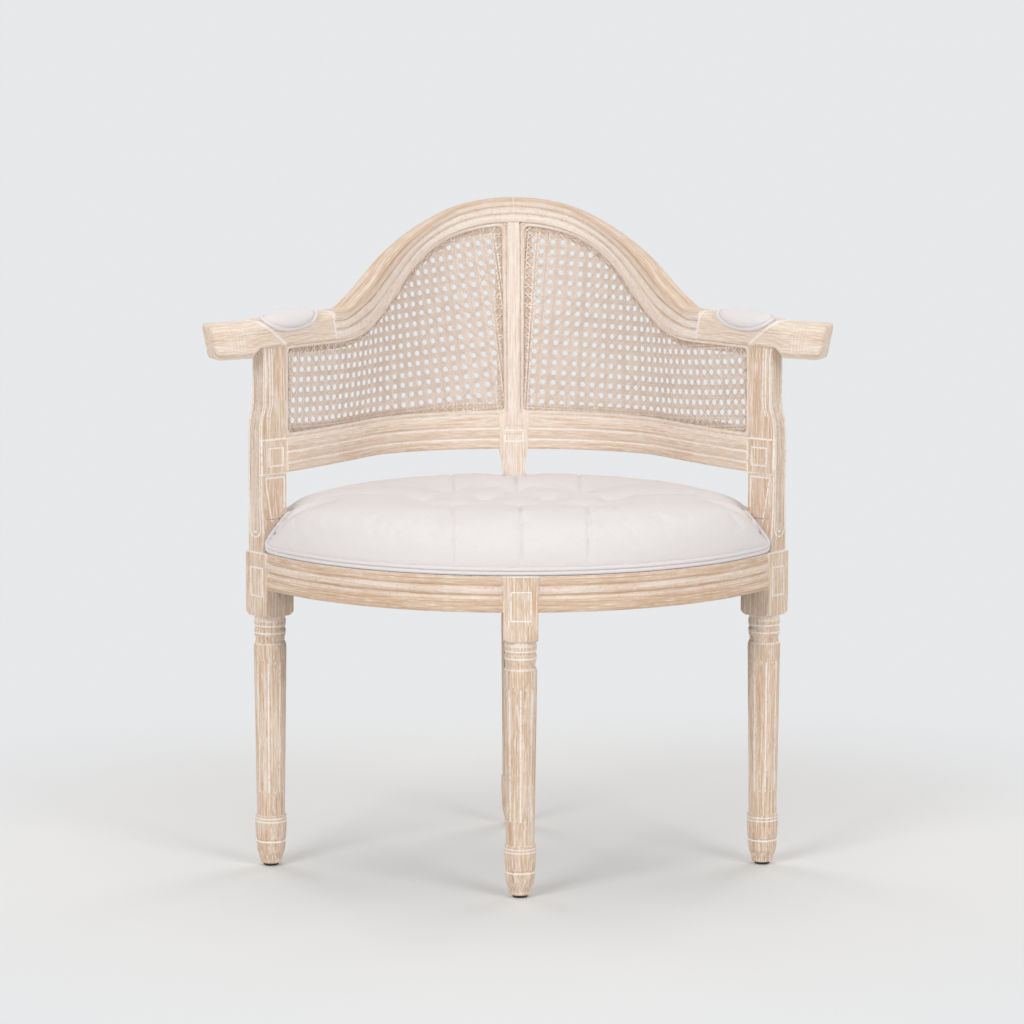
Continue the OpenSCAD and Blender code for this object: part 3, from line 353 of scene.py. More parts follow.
def make_crevice_group():
    """White paint left in grooves, corners and joints, worn to patches in places."""
    tree, n, given, out = new_group(
        "groove_paint", {"Color": COLOUR, "Paint": COLOUR, "Line": FLOAT}, {"Color": COLOUR})
    shut = n.add("ShaderNodeAmbientOcclusion", {"Distance": 0.006}, samples=6).outputs["AO"]
    corner = Value(n, shut).ramp(0.78, 0.42)
    broken = n.noise(n.own_place(), 240.0)
    worn = broken.ramp(0.36, 0.50) * 0.45 + 0.55
    mask = corner * broken.ramp(0.30, 0.50) | Value(n, given["Line"]) * worn
    strong = n.maths("MULTIPLY", mask, 0.95, clamp=True)
    n.set(out["Color"], n.blend(strong, given["Color"], given["Paint"]))
    return tree


def make_weave_group():
    """Plain weave on an object's coordinates, level or upright."""
    tree, n, given, out = new_group("plain_weave", {"Vector": VECTOR},
                                    {"Height": FLOAT, "Slub": FLOAT})
    x, y, z = n.parts(n.vector("SCALE", {0: given["Vector"], "Scale": THREADS}))
    up = z * 0.7
    warp = n.maths("SINE", (x + up) * (2 * math.pi))
    weft = n.maths("SINE", (y - up) * (2 * math.pi))
    n.set(out["Height"], warp * weft)
    n.set(out["Slub"], n.noise(given["Vector"], 600.0))
    return tree


# Threads of the linen to a metre
THREADS = 1400.0
OAK_BARE = (0.430, 0.255, 0.140, 1)
OAK_WOOD = (0.610, 0.405, 0.260, 1)
OAK_LIME = (0.800, 0.650, 0.520, 1)
PAINT_WHITE = (0.930, 0.885, 0.840, 1)
LINEN = (0.810, 0.765, 0.760, 1)
CANE_DEEP = (0.70, 0.52, 0.40, 1)
CANE_PALE = (0.90, 0.77, 0.665, 1)
CANE_WHITE = (0.94, 0.88, 0.82, 1)
# dark brown of the strands' sloping edges: partly the cane's own colour, partly painted shade for
# the gaps between strands
CANE_EDGE_BROWN_AND_SHADE = (0.33, 0.195, 0.115, 1)
FLOOR_DEEP = (0.76, 0.755, 0.745, 1)
FLOOR_PALE = (0.79, 0.785, 0.775, 1)
BACKDROP = (0.80, 0.81, 0.825, 1)
GRAIN = make_grain_group()
PAINT = make_crevice_group()
WEAVE = make_weave_group()


def new_material(name, rough):
    material = bpy.data.materials.new(name)
    material.use_nodes = True
    material.node_tree.nodes.clear()
    n = Nodes(material.node_tree)
    shader = n.add("ShaderNodeBsdfPrincipled")
    n.add("ShaderNodeOutputMaterial", {"Surface": shader.outputs[0]})
    shader.inputs["Roughness"].default_value = rough
    return material, n, shader.inputs


def bumped(n, shader, height, distance, strength):
    bump = n.add("ShaderNodeBump", {"Height": height, "Distance": distance,
                                    "Strength": strength})
    n.set(shader["Normal"], bump.outputs[0])


def deeper(colour, share):
    return tuple(share * c for c in colour[:3]) + (1,)


def limed_oak(name, turn=(0, 0, 0), flat=False, lime=0.5, lines=None):
    """Oak whose grain runs along Z after a turn, or along V of the piece's own map. Its paint
    attribute is white where above 0, and where below 0 it darkens the oak towards bare wood:
    on convex edges as wear, at the bottoms of narrow grooves as painted shade with some brown, and
    on the ledge behind the cane."""
    material, n, shader = new_material(name, 0.62)
    if flat:
        u, v = n.parts(n.own_map())[:2]
        where = n.add("ShaderNodeCombineXYZ", {0: u, 2: v}).outputs[0]
        mark = n.attribute("paint")
        line = mark | 0.0
    else:
        where = n.own_place()
        line = lines(n, where) if lines else 0.0
        where = n.add("ShaderNodeMapping", {"Vector": where, "Rotation": turn}).outputs[0]
    grain = n.grouped(GRAIN, {"Vector": where, "Wood": OAK_WOOD, "Lime": OAK_LIME,
                              "Bare": OAK_BARE, "White": PAINT_WHITE, "Lime amount": lime})
    colour = grain["Color"]
    if flat:
        # paint below 0 darkens towards bare oak: wear on convex edges, and painted shade with some
        # brown in groove bottoms
        colour = n.blend(n.maths("MULTIPLY", mark, -0.75, clamp=True), colour, OAK_BARE)
    paint = n.grouped(PAINT, {"Color": colour, "Paint": PAINT_WHITE, "Line": line})
    n.set(shader["Base Color"], paint["Color"])
    bumped(n, shader, grain["Height"], 0.0004, 0.5)
    return material


def linen(name):
    material, n, shader = new_material(name, 0.9)
    weave = n.grouped(WEAVE, {"Vector": n.own_place()})
    slub = Value(n, weave["Slub"])
    n.set(shader["Base Color"], n.blend(slub.ramp(0.3, 0.7), deeper(LINEN, 0.965), LINEN))
    shader["Sheen Weight"].default_value = 0.15
    shader["Sheen Roughness"].default_value = 0.5
    bumped(n, shader, slub * 1.5 + Value(n, weave["Height"]), 0.00012, 0.5)
    return material


def plain(name, colour, rough, scale, metal=0.0):
    """A plain finish with a little mottle, for small and hidden pieces."""
    material, n, shader = new_material(name, rough)
    mottle = n.noise(n.own_place(), scale)
    n.set(shader["Base Color"], n.blend(mottle.ramp(0.3, 0.7), deeper(colour, 0.88), colour))
    shader["Metallic"].default_value = metal
    bumped(n, shader, mottle, 0.0003, 0.3)
    return material


def cane_material():
    """Split cane: a pale, whitened face, and dark brown on the sloping edges of each strand, partly
    the cane's own colour and partly painted shade for the dark gaps between strands.
    """
    material, n, shader = new_material("split_cane", 0.5)
    where = n.own_map()
    fine = n.noise(where, 900.0, 2.0)
    mixed = n.attribute("tone") * 0.4 + n.noise(where, 60.0) * 0.6
    base = n.blend(mixed.ramp(0.25, 0.75), CANE_DEEP, CANE_PALE)
    white = n.blend(fine.ramp(0.42, 0.66) * 0.75, base, CANE_WHITE)
    # darkest on the sloping sides of the strands: some real brown, some painted shade
    edge_brown_and_shade = n.attribute("edge").ramp(0.10, 0.50) * 0.95
    n.set(shader["Base Color"], n.blend(edge_brown_and_shade, white, CANE_EDGE_BROWN_AND_SHADE))
    bumped(n, shader, fine, 0.0002, 0.4)
    return material


def chosen(*pieces):
    """Leaves only these pieces selected, the first of them active."""
    for thing in bpy.context.selected_objects:
        thing.select_set(False)
    for piece in pieces:
        piece.select_set(True)
    if pieces:
        bpy.context.view_layer.objects.active = pieces[0]


def store(mesh, name, values):
    mesh.attributes.new(name, "FLOAT", "POINT").data.foreach_set(
        "value", np.array(values, float).ravel())


def lay_map(mesh, flat):
    """Gives a mesh the flat map that its grain follows, one place for each point."""
    layer = mesh.uv_layers.new(name="grain")
    corner = np.empty(len(mesh.loops), dtype=int)
    mesh.loops.foreach_get("vertex_index", corner)
    layer.data.foreach_set("uv", np.asarray(flat, float)[corner].ravel())


def turn_outward(smooth, merge=None):
    """Turns the active piece's faces outward and smooths it up to an angle in degrees."""
    bpy.ops.object.mode_set(mode="EDIT")
    bpy.ops.mesh.select_all(action="SELECT")
    if merge:
        bpy.ops.mesh.remove_doubles(threshold=merge)
    bpy.ops.mesh.normals_make_consistent(inside=False)
    bpy.ops.object.mode_set(mode="OBJECT")
    bpy.ops.object.shade_smooth_by_angle(angle=math.radians(smooth))


def places_of(piece):
    co = np.empty(len(piece.data.vertices) * 3)
    piece.data.vertices.foreach_get("co", co)
    return co.reshape(-1, 3)


def put(piece, places):
    piece.data.vertices.foreach_set("co", places.ravel())
    piece.data.update()


def finished(piece, material, slot, *stands_for):
    piece.data.materials.clear()
    piece.data.materials.append(material)
    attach(piece, "root")
    if stands_for:
        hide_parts(*stands_for)
    return piece


MERGE = 1e-6


def laid_grid(name, across, along, place, smooth=35):
    """A grid primitive laid on a surface. place(u, v) takes shares across and along the
    grid, and gives places, a flat map in metres, and the amount of paint."""
    chosen()
    bpy.ops.mesh.primitive_grid_add(x_subdivisions=across, y_subdivisions=along, size=2)
    piece = bpy.context.object
    piece.name = piece.data.name = name
    co = places_of(piece)
    u = np.clip((co[:, 0] + 1) / 2, 0, 1)
    v = np.clip((co[:, 1] + 1) / 2, 0, 1)
    xyz, flat, paint = place(u, v)
    put(piece, np.asarray(xyz, float))
    store(piece.data, "paint", np.broadcast_to(np.asarray(paint, float), u.shape))
    piece.data.uv_layers.remove(piece.data.uv_layers[0])
    lay_map(piece.data, flat)
    turn_outward(smooth, MERGE)
    return piece


def cut_corners(points, rounds=2):
    """Rounds the corners of a closed outline of (n, z, paint) rows."""
    p = np.array(points, float)
    for _ in range(rounds):
        q = np.roll(p, -1, axis=0)
        p = np.stack([0.75 * p + 0.25 * q, 0.25 * p + 0.75 * q], axis=1).reshape(
            -1, p.shape[1])
    return p


def skinned(name, rings, flat, paint=None, smooth=35, closed=False):
    """A skin over rings of points. Its ends close on their middles, or on each other
    where it is closed. flat holds the girth at each column and the length at each ring."""
    rings = np.asarray(rings, float)
    paint = np.zeros(rings.shape[:2]) if paint is None else np.asarray(paint, float)
    girth, far = np.asarray(flat[0], float), np.asarray(flat[1], float)
    if closed:
        order = list(range(len(rings))) + [0]
        rings, paint, far = rings[order], paint[order], np.append(far, 2 * far[-1] - far[-2])
    else:
        middles = [np.repeat(r.mean(axis=0, keepdims=True), len(r), axis=0)
                   for r in (rings[0], rings[-1])]
        rings = np.concatenate([middles[:1], rings, middles[1:]])
        paint = np.concatenate([paint[:1], paint, paint[-1:]])
        far = np.concatenate([far[:1], far, far[-1:]])
    sides, rows = rings.shape[1], len(rings) - 1

    def place(u, v):
        i = np.rint(u * sides).astype(int)
        j = np.rint(v * rows).astype(int)
        return rings[j, i % sides], np.stack([girth[i], far[j]], axis=1), paint[j, i % sides]
    return laid_grid(name, sides, rows, place, smooth)


def girth_of(points):
    way = np.diff(np.vstack([points, points[:1]]), axis=0)
    return np.concatenate([[0], np.cumsum(np.linalg.norm(way, axis=1))])


# Ends of mouldings: how much they are drawn in, over what length, and their paint
END_SHARE = 0.97
END_RUN = 0.0006
END_PAINT = 0.8


def swept(name, rows, steps, size, at, material, stands_for):
    """A moulding of rows of (depth share, height share, paint). size is its depth, height
    and length, and at(outline, t) gives places at a share t of the length. Both ends are
    a little drawn in, so a joint shows."""
    outline = cut_corners(rows)
    middle = outline.mean(axis=0)
    small = outline.copy()
    small[:, :2] = middle[:2] + (outline[:, :2] - middle[:2]) * END_SHARE
    small[:, 2] = END_PAINT
    eps = END_RUN / size[2]
    shares = [0] + list(np.linspace(eps, 1 - eps, steps)) + [1]
    sections = [small if t in (0, 1) else outline for t in shares]
    rings = [at(section, t) for section, t in zip(sections, shares)]
    girth = girth_of(outline[:, :2] * np.array(size[:2]))
    piece = skinned(name, rings, (girth, np.array(shares) * size[2]),
                    [section[:, 2] for section in sections])
    finished(piece, material, "oak", stands_for)


# Sections, as rows of (depth share, height share, paint). Paint below 0 darkens the oak towards
# bare wood: on convex edges as wear, and at the bottoms and upper walls of the narrow grooves of
# the crest and seat rails as painted shade with some brown.
CREST_ROWS = [
    (1, 0.5, 0), (1, 0.06, 0), (0.94, 0, 0), (0.07, 0, 0.4), (0.015, 0.03, 0.5), (0.005, 0.10, 0.5),
    # painted shade with some brown at the bottom and upper wall of the grooves at height shares
    # 0.345 and 0.635
    (0.02, 0.2, 0.6), (0.05, 0.28, 0.7), (0.085, 0.33, 0.2), (0.10, 0.345, -0.6),
    (0.055, 0.36, -0.2), (0.02, 0.39, 0.4), (-0.005, 0.45, 0.6), (-0.01, 0.5, 0.6), (0, 0.56, 0.5),
    (0.03, 0.61, 0.3), (0.075, 0.635, -0.7), (0.05, 0.655, -0.3), (0, 0.70, 0.5),
    (-0.035, 0.77, 0.5), (-0.045, 0.84, 0.2), (-0.03, 0.91, -0.5), (0.02, 0.96, -0.4),
    (0.09, 0.985, 0), (0.2, 1, 0), (0.5, 1.005, 0), (0.8, 1, 0), (0.95, 0.96, 0), (1, 0.86, 0)]
LOW_RAIL_ROWS = [
    (1, 0.5, 0), (1, 0.04, 0), (0.94, 0, 0), (0.06, 0, 0), (0.0, 0.04, -0.2), (0, 0.14, 0),
    (0, 0.255, -0.3), (0.05, 0.29, 0.9), (0.055, 0.31, 0.9), (0.0, 0.345, -0.3), (-0.01, 0.45, 0),
    (0, 0.555, -0.3), (0.06, 0.60, 0.9), (0.065, 0.62, 0.8), (0.015, 0.66, -0.2), (0.01, 0.72, 0),
    (0.03, 0.82, 0), (0.06, 0.92, 0.2), (0.10, 1, 0.5), (0.5, 1, 0), (1, 1, 0)]
SEAT_RAIL_ROWS = [
    (1, 0, 0), (0.06, 0, 0), (0, 0.035, -0.2), (0, 0.2, 0), (0, 0.33, -0.3), (0.05, 0.36, 0.1),
    (0.125, 0.38, 0.35), (0.135, 0.42, 0.5), (0.115, 0.46, 0.3), (0.06, 0.50, -0.6),
    (0.035, 0.53, 0.2), (0.03, 0.6, 0.35), (0.04, 0.67, 0.45), (0.09, 0.71, 0.2),
    # painted shade with some brown at the bottom of the groove at height share 0.735
    (0.105, 0.735, -0.5), (0.045, 0.76, -0.2), (0.04, 0.85, 0), (0.04, 0.96, 0),
    (0.08, 1, 0.3), (1, 1, 0)]

# The slanting joint of crest and arm: where it starts round the back, and its slant
ARM_FROM = 0.2985
JOINT_SLANT = 0.0090
# The crest's height in its flat map
CREST_H = 0.034


def joint_s(height):
    """How far round the back the joint is at a height share."""
    return ARM_FROM + JOINT_SLANT * np.clip(height, 0, 1)


def make_crest(name, side, oak):
    def at(rows, t):
        s = joint_s(rows[:, 1]) * t
        low = cane_z(s)
        z = low + rows[:, 1] * (crest_z(s) - low)
        return spot(s, z, rows[:, 0] * FRAME_T - FRAME_FRONT, side)
    swept(name + "_crest_rail", CREST_ROWS, 140, (FRAME_T, CREST_H, ARM_JOINT), at, oak,
          name + "_crest")


def make_low_rail(name, side, oak):
    def at(rows, t):
        s = STILE_BLOCK_S + (POST_S - STILE_BLOCK_S) * t
        mitre = (math.tan(heading(STILE_BLOCK_S)) if t <= 0
                 else math.tan(PLAN_A[3] - BLOCK_TURN) if t >= 1 else 0)
        z = LOW_RAIL_BOTTOM + rows[:, 1] * (CANE_BOTTOM - LOW_RAIL_BOTTOM)
        return spot(s, z, rows[:, 0] * FRAME_T - FRAME_FRONT, side, mitre)
    size = (FRAME_T, CANE_BOTTOM - LOW_RAIL_BOTTOM, POST_S - STILE_BLOCK_S)
    swept(name + "_lower_rail", LOW_RAIL_ROWS, 120, size, at, oak, name + "_low_rail")


# Seat rails: mouldings bowed about a centre, between the blocks of two legs
SIDE_RAIL_SET = 0.004
FRONT_RAIL_SET = 0.0015
BACK_RAIL_SET = 0.006
FRONT_BOW_R = 0.350
BACK_BOW_R = 0.430
FRONT_LEG_IN = HALF_BLOCK - 0.0005


def bow(radius, out, outer, inner):
    """A seat rail's bow: its centre, its radius, the way out of the side block, and the
    ends of its outer face at the side block and at the block on the chair's middle."""
    m, d = (outer + inner) / 2, inner - outer
    size = np.linalg.norm(d)
    h = math.sqrt(radius * radius - size * size / 4)
    a = np.array([-d[1], d[0]]) / size
    return m + (1 if a @ m < 0 else -1) * h * a, radius, out, outer, inner


BOWS = {
    "front": bow(FRONT_BOW_R, LEG_OUT, by_side_leg(HALF_BLOCK, -HALF_BLOCK),
                 np.array([HALF_BLOCK, -FRONT_LEG_Y - HALF_BLOCK + FRONT_RAIL_SET])),
    "back": bow(BACK_BOW_R, LEG_ALONG, by_side_leg(-HALF_BLOCK, HALF_BLOCK - SIDE_RAIL_SET),
                np.array([HALF_BLOCK, BACK_LEG_Y + HALF_BLOCK - BACK_RAIL_SET]))}
FRONT_BOW, BACK_BOW = BOWS["front"][0], BOWS["back"][0]


def bearing(way):
    return math.atan2(way[1], way[0])


def on_face(r, out, reach, near):
    """Angles, one for each radius, at which a circle about a centre meets a face."""
    turn = bearing(out)
    swing = np.arccos(np.clip(reach / r, -1, 1))
    both = np.stack([turn + swing, turn - swing])
    off = np.abs(np.angle(np.exp(1j * (both - near))))
    return near + np.angle(np.exp(1j * (np.where(off[0] < off[1], both[0], both[1]) - near)))


def make_seat_rail(where, name, side, oak):
    centre, bow_r, out, outer, inner = BOWS[where]

    def at(rows, t):
        r = bow_r - rows[:, 0] * RAIL_T
        a = on_face(r, out, -FRONT_LEG_IN - (centre - SIDE_LEG) @ out, bearing(outer - centre))
        b = on_face(r, np.array([1.0, 0.0]), FRONT_LEG_IN - centre[0], bearing(inner - centre))
        turn = a + (b - a) * t
        z = RAIL_TOP - RAIL_H + rows[:, 1] * RAIL_H
        return np.stack([side * (centre[0] + r * np.cos(turn)),
                         centre[1] + r * np.sin(turn) - MIDDLE_Y, z], axis=-1)
    long = float(np.linalg.norm(outer - inner))
    node = "%s_%s_rail" % (where, name)
    swept("moulded_" + node, SEAT_RAIL_ROWS, 90, (RAIL_T, RAIL_H, long), at, oak, node)


# Arms: a rounded section that deepens behind the crest joint and past the post
ARM_RINGS = 330
ARM_ROUND = 0.012
ARM_EDGE = 0.003
ARM_END_ROUND = 0.005
ARM_UNDER_FROM = POST_S + POST_REAR + POST_FRONT
ARM_UNDER_RUN = 0.014
ARM_CHAMFER = 0.008
UNDERCUT = math.tan(math.radians(13))
# The joint: how far its paint reaches, its run, and how much the arm is drawn in there
JOINT_PAINT = 0.0034
JOINT_RUN = 0.0012
JOINT_SHRINK = 0.03
# Grooves across an arm: place round the back at its top edge and at its foot, lowest
# height share, width, depth and paint
ARM_GROOVES = [(0.4285, 0.3865, 0.0, 0.0028, 0.0015, 1.0)]
ARM_GROOVES += [(0.4545 + k * 0.0045, 0.4545 + k * 0.0045, 0.14, 0.0012, 0.0006, 0.25)
                for k in range(5)]
GROOVE_FACE = 0.009
GROOVE_TOP = 0.97


def arm_depth(s):
    return FRAME_BACK + (ARM_BACK - FRAME_BACK) * (
        1 - wave((s - ARM_JOINT) / (POST_S - ARM_JOINT)))


def arm_over(s):
    return ARM_TOP - ARM_TIP_DROP * (1 - wave((s - ARM_JOINT) / (ARM_END_S - ARM_JOINT)))


def arm_deep(s):
    return 1 - wave((s - ARM_UNDER_FROM) / ARM_UNDER_RUN)


def arm_under(s):
    tip = ARM_TOP - ARM_TIP_DROP - ARM_TIP_T
    return CANE_SIDE_TOP + (tip - CANE_SIDE_TOP) * arm_deep(s)


def arc(n, z, r, start, end, count):
    a = np.radians(np.linspace(start, end, count))
    return np.stack([n + r * np.cos(a), z + r * np.sin(a)], axis=1)


def run(p, q, count):
    """Points between two others, without either."""
    f = np.linspace(0, 1, count + 2)[1:-1, None]
    return np.array(p) * (1 - f) + np.array(q) * f


def arm_section(s, inset):
    f, b = -FRAME_FRONT + inset, arm_depth(s) - inset
    lo, hi = arm_under(s) + inset, arm_over(s) - inset
    e, r, deep = ARM_EDGE, ARM_ROUND, float(arm_deep(s))
    c = e + (ARM_CHAMFER - e) * deep
    cut = (run((f + c, lo), (f, lo + c), 5) * deep
           + arc(f + c, lo + c, c, -108, -162, 5) * (1 - deep))
    return np.vstack([
        arc(b - e, lo + e, e, 0, -90, 4), run((b - e, lo), (f + c, lo), 4),
        [(f + c, lo)], cut, [(f, lo + c)], run((f, lo + c), (f, hi - r), 12),
        arc(f + r, hi - r, r, 180, 90, 9), run((f + r, hi), (b - 2 * e, hi), 4),
        arc(b - 2 * e, hi - 2 * e, 2 * e, 90, 0, 6), run((b, hi - 2 * e), (b, lo + e), 3)])


def make_arm(name, side, oak):
    last = ARM_END_S - ARM_END_ROUND
    ways = [(s, 0.0) for s in np.linspace(ARM_FROM, last, ARM_RINGS)]
    ways += [(last + ARM_END_ROUND * math.sin(a), ARM_END_ROUND * (1 - math.cos(a)))
             for a in np.linspace(0, np.pi / 2, 9)[1:]]
    rings, paint = [], []
    for s, inset in ways:
        section = arm_section(s, inset)
        n, z = section.T
        over, under = float(arm_over(s)), float(arm_under(s))
        height = np.clip((z - CANE_SIDE_TOP) / (over - CANE_SIDE_TOP), 0, 1)
        share = (z - under) / (over - under)
        mark, depth = np.zeros(len(n)), np.zeros(len(n))
        for top_s, foot_s, lowest, width, deep, white in ARM_GROOVES:
            line = foot_s + (top_s - foot_s) * height
            cut = np.clip(1 - np.abs(s - line) / width, 0, 1) * (share > lowest)
            if lowest:
                cut = cut * (n < -FRAME_FRONT + GROOVE_FACE) * (share < GROOVE_TOP)
            depth = np.maximum(depth, cut * deep)
            mark = np.maximum(mark, np.clip(1.8 * cut, 0, 1) * white)
        middle = section.mean(axis=0)
        way = middle - section
        section = section + way / np.linalg.norm(way, axis=1)[:, None] * depth[:, None]
        n, z = section.T
        start = joint_s(height)
        mark = np.maximum(mark, np.clip((start + JOINT_PAINT - s) / JOINT_RUN, 0, 1))
        shrink = np.clip((start + JOINT_RUN - s) / JOINT_RUN, 0, 1) * JOINT_SHRINK
        n, z = n + (middle[0] - n) * shrink, z + (middle[1] - z) * shrink
        reach = max(0, (s - ARM_UNDER_FROM) / (ARM_END_S - ARM_UNDER_FROM))
        rings.append(spot(np.maximum(s, start) - reach * (over - z) * UNDERCUT, z, n, side))
        paint.append(mark)
    girth = girth_of(arm_section(0.40, 0))
    piece = skinned(name + "_arm_rest", rings, (girth, [w[0] for w in ways]), paint, 40)
    finished(piece, oak, "oak", name + "_arm")


# Splines: round beads in a groove round each cane panel
SPLINE_W = 0.005
SPLINE_PROUD = 0.0034
SPLINE_SUNK = 0.0010
SPLINE_CORNER = 0.010
SPLINE_STEP = 0.004
# The rebate that the cane is let into, in rows of (inwards, behind, paint) in mm, where
# inwards 12.5 stands for the ledge's reach
REBATE_ROWS = [(-4, -4.5, 0), (-1, -4.4, 0.3), (0.6, -3.0, 0.2), (0.6, 1.2, -0.5), (6, 1.2, -0.6),
               (12.5, 1.2, 0), (12.5, 5, 0), (4, 5, 0), (-4, 5, 0), (-4, 0, 0)]


def spline_route():
    e = SPLINE_W / 2
    r = SPLINE_CORNER - e
    s0, s1 = STILE_S + SPLINE_CORNER, POST_S - SPLINE_CORNER
    z0, z1 = CANE_BOTTOM + SPLINE_CORNER, CANE_SIDE_TOP - SPLINE_CORNER
    z2 = float(cane_z(s0)) - SPLINE_CORNER

    def runs(a, b):
        return np.linspace(a, b, max(2, int(abs(b - a) / SPLINE_STEP)), endpoint=False)[1:]

    def straight(s, z):
        return np.stack(np.broadcast_arrays(s, z), axis=1)

    def corner(s, z, a0):
        a = np.radians(a0 + np.linspace(0, 90, 8))
        return np.stack([s + r * np.cos(a), z + r * np.sin(a)], axis=1)
    back = runs(s1, s0)
    dip = (cane_z(back + 0.001) - cane_z(back - 0.001)) / 0.002
    return np.vstack([
        straight(runs(s0, s1), CANE_BOTTOM + e), corner(s1, z0, -90),
        straight(POST_S - e, runs(z0, z1)), corner(s1, z1, 0),
        straight(back, cane_z(back) - e * np.hypot(1, dip)), corner(s0, z2, 90),
        straight(STILE_S + e, runs(z2, z0)), corner(s0, z0, 180)])


def smoothed(values, rounds):
    for _ in range(rounds):
        values = (np.roll(values, 1, axis=0) + 2 * values + np.roll(values, -1, axis=0)) / 4
    return values


def along_spline():
    """The spline's middle line, the way out from it, its length, and how far in from it
    a ledge may reach at each point."""
    route = smoothed(spline_route(), 3)
    d = np.roll(route, -1, axis=0) - np.roll(route, 1, axis=0)
    step = np.linalg.norm(d, axis=1)
    d /= step[:, None]
    turn = np.abs(np.cross(np.roll(d, 1, axis=0), np.roll(d, -1, axis=0))) / step
    reach = smoothed(np.clip(0.9 / np.maximum(turn, 1e-6), 0.006, 0.010), 2)
    far = np.concatenate([[0], np.cumsum(np.linalg.norm(np.diff(route, axis=0), axis=1))])
    return route, np.stack([d[:, 1], -d[:, 0]], axis=1), far, reach


def make_spline(name, side, material, oak):
    route, out, far, reach = along_spline()
    a = np.pi * 2 * np.arange(10) / 10
    across, up = np.cos(a) * SPLINE_W / 2, np.maximum(np.sin(a), -0.15) * SPLINE_PROUD
    rings = [spot(p[0] + across * o[0], p[1] + across * o[1], -SPLINE_SUNK - up, side)
             for p, o in zip(route, out)]
    girth = np.arange(11) * 0.0016
    piece = skinned(name + "_spline_bead", rings, (girth, far), None, 60, True)
    finished(piece, material, "spline", name + "_spline")
    rows = cut_corners(REBATE_ROWS, 1)
    rings = []
    for p, o, deep in zip(route, out, reach):
        across = np.maximum(SPLINE_W / 2 - rows[:, 0] / 1000, -deep)
        rings.append(spot(p[0] + across * o[0], p[1] + across * o[1], rows[:, 1] / 1000, side))
    paint = np.broadcast_to(rows[:, 2], (len(rings), len(rows)))
    flat = (girth_of(rows[:, :2] / 1000), far)
    piece = skinned(name + "_cane_rebate", rings, flat, paint, 30, True)
    finished(piece, oak, "oak")


# Cane: the six-way weave. Pairs run up and across, single strands run both diagonals.
CANE_PITCH = 0.0126
PAIR_HALF = 0.0016
STRAND_W = 0.0021
DIAGONAL_W = 0.0022
STRAND_T = 0.0005
# A strand's section: shares of its half width across, and of its half thickness behind
STRAND = np.array([(-1, -0.1), (-0.55, -1.0), (0.55, -1.0), (1, -0.1), (0, 0.6)])
STRAND_FACE = 0.55
PAIR_LIFT = 0.00025
DIAGONAL_LIFT = 0.0006
# Where along its width the sheet begins and ends
SHEET_ENDS = (-0.03, 0.43)
# How far the sheet is laid out beyond the panel, and how far strands run into the frame
CANE_BEYOND = 0.06
CANE_HOLD = 0.001
# How far each sheet was laid askew, at the stile and at the post, in degrees, about a
# height above the panel's foot
CANE_ASKEW = {"left": (-7.0, 4.5), "right": (-3.5, 8.0)}
ASKEW_ABOUT = 0.08


def cane_place(name, a, b):
    """Distance round the back and height for a point of the flat sheet."""
    low, high = (math.tan(math.radians(x)) for x in CANE_ASKEW[name])
    rate = (high - low) / POST_S
    s = a - (low + rate * a) * (b - (CANE_BOTTOM + ASKEW_ABOUT))
    z = b + low * (a - POST_S / 2) + rate * (a ** 2 - (POST_S / 2) ** 2) / 2
    return s, z


def strand_lines():
    """Lines of the flat sheet: start, run, width, and the kind of strand, 0 to 3."""
    p = CANE_PITCH
    lines = []
    a0, a1 = SHEET_ENDS
    b0, b1 = CANE_BOTTOM - CANE_BEYOND, CANE_TOP + CANE_BEYOND
    for i in range(int(a0 / p) - 1, int(a1 / p) + 2):
        for pair in (-1, 1):
            lines.append(((i + 0.5) * p + pair * PAIR_HALF, b0, 0, b1 - b0, STRAND_W, 0))
    for j in range(int((b1 - b0) / p) + 1):
        for pair in (-1, 1):
            lines.append((a0, b0 + (j + 0.5) * p + pair * PAIR_HALF, a1 - a0, 0, STRAND_W, 1))
    span = b1 - b0
    for k in range(int((a0 - span) / p) - 1, int(a1 / p) + 2):
        lines.append(((k + 0.5) * p, b0, span, span, DIAGONAL_W, 2))
    for k in range(int(a0 / p) - 1, int((a1 + span) / p) + 2):
        lines.append(((k + 0.5) * p, b0, -span, span, DIAGONAL_W, 3))
    return lines


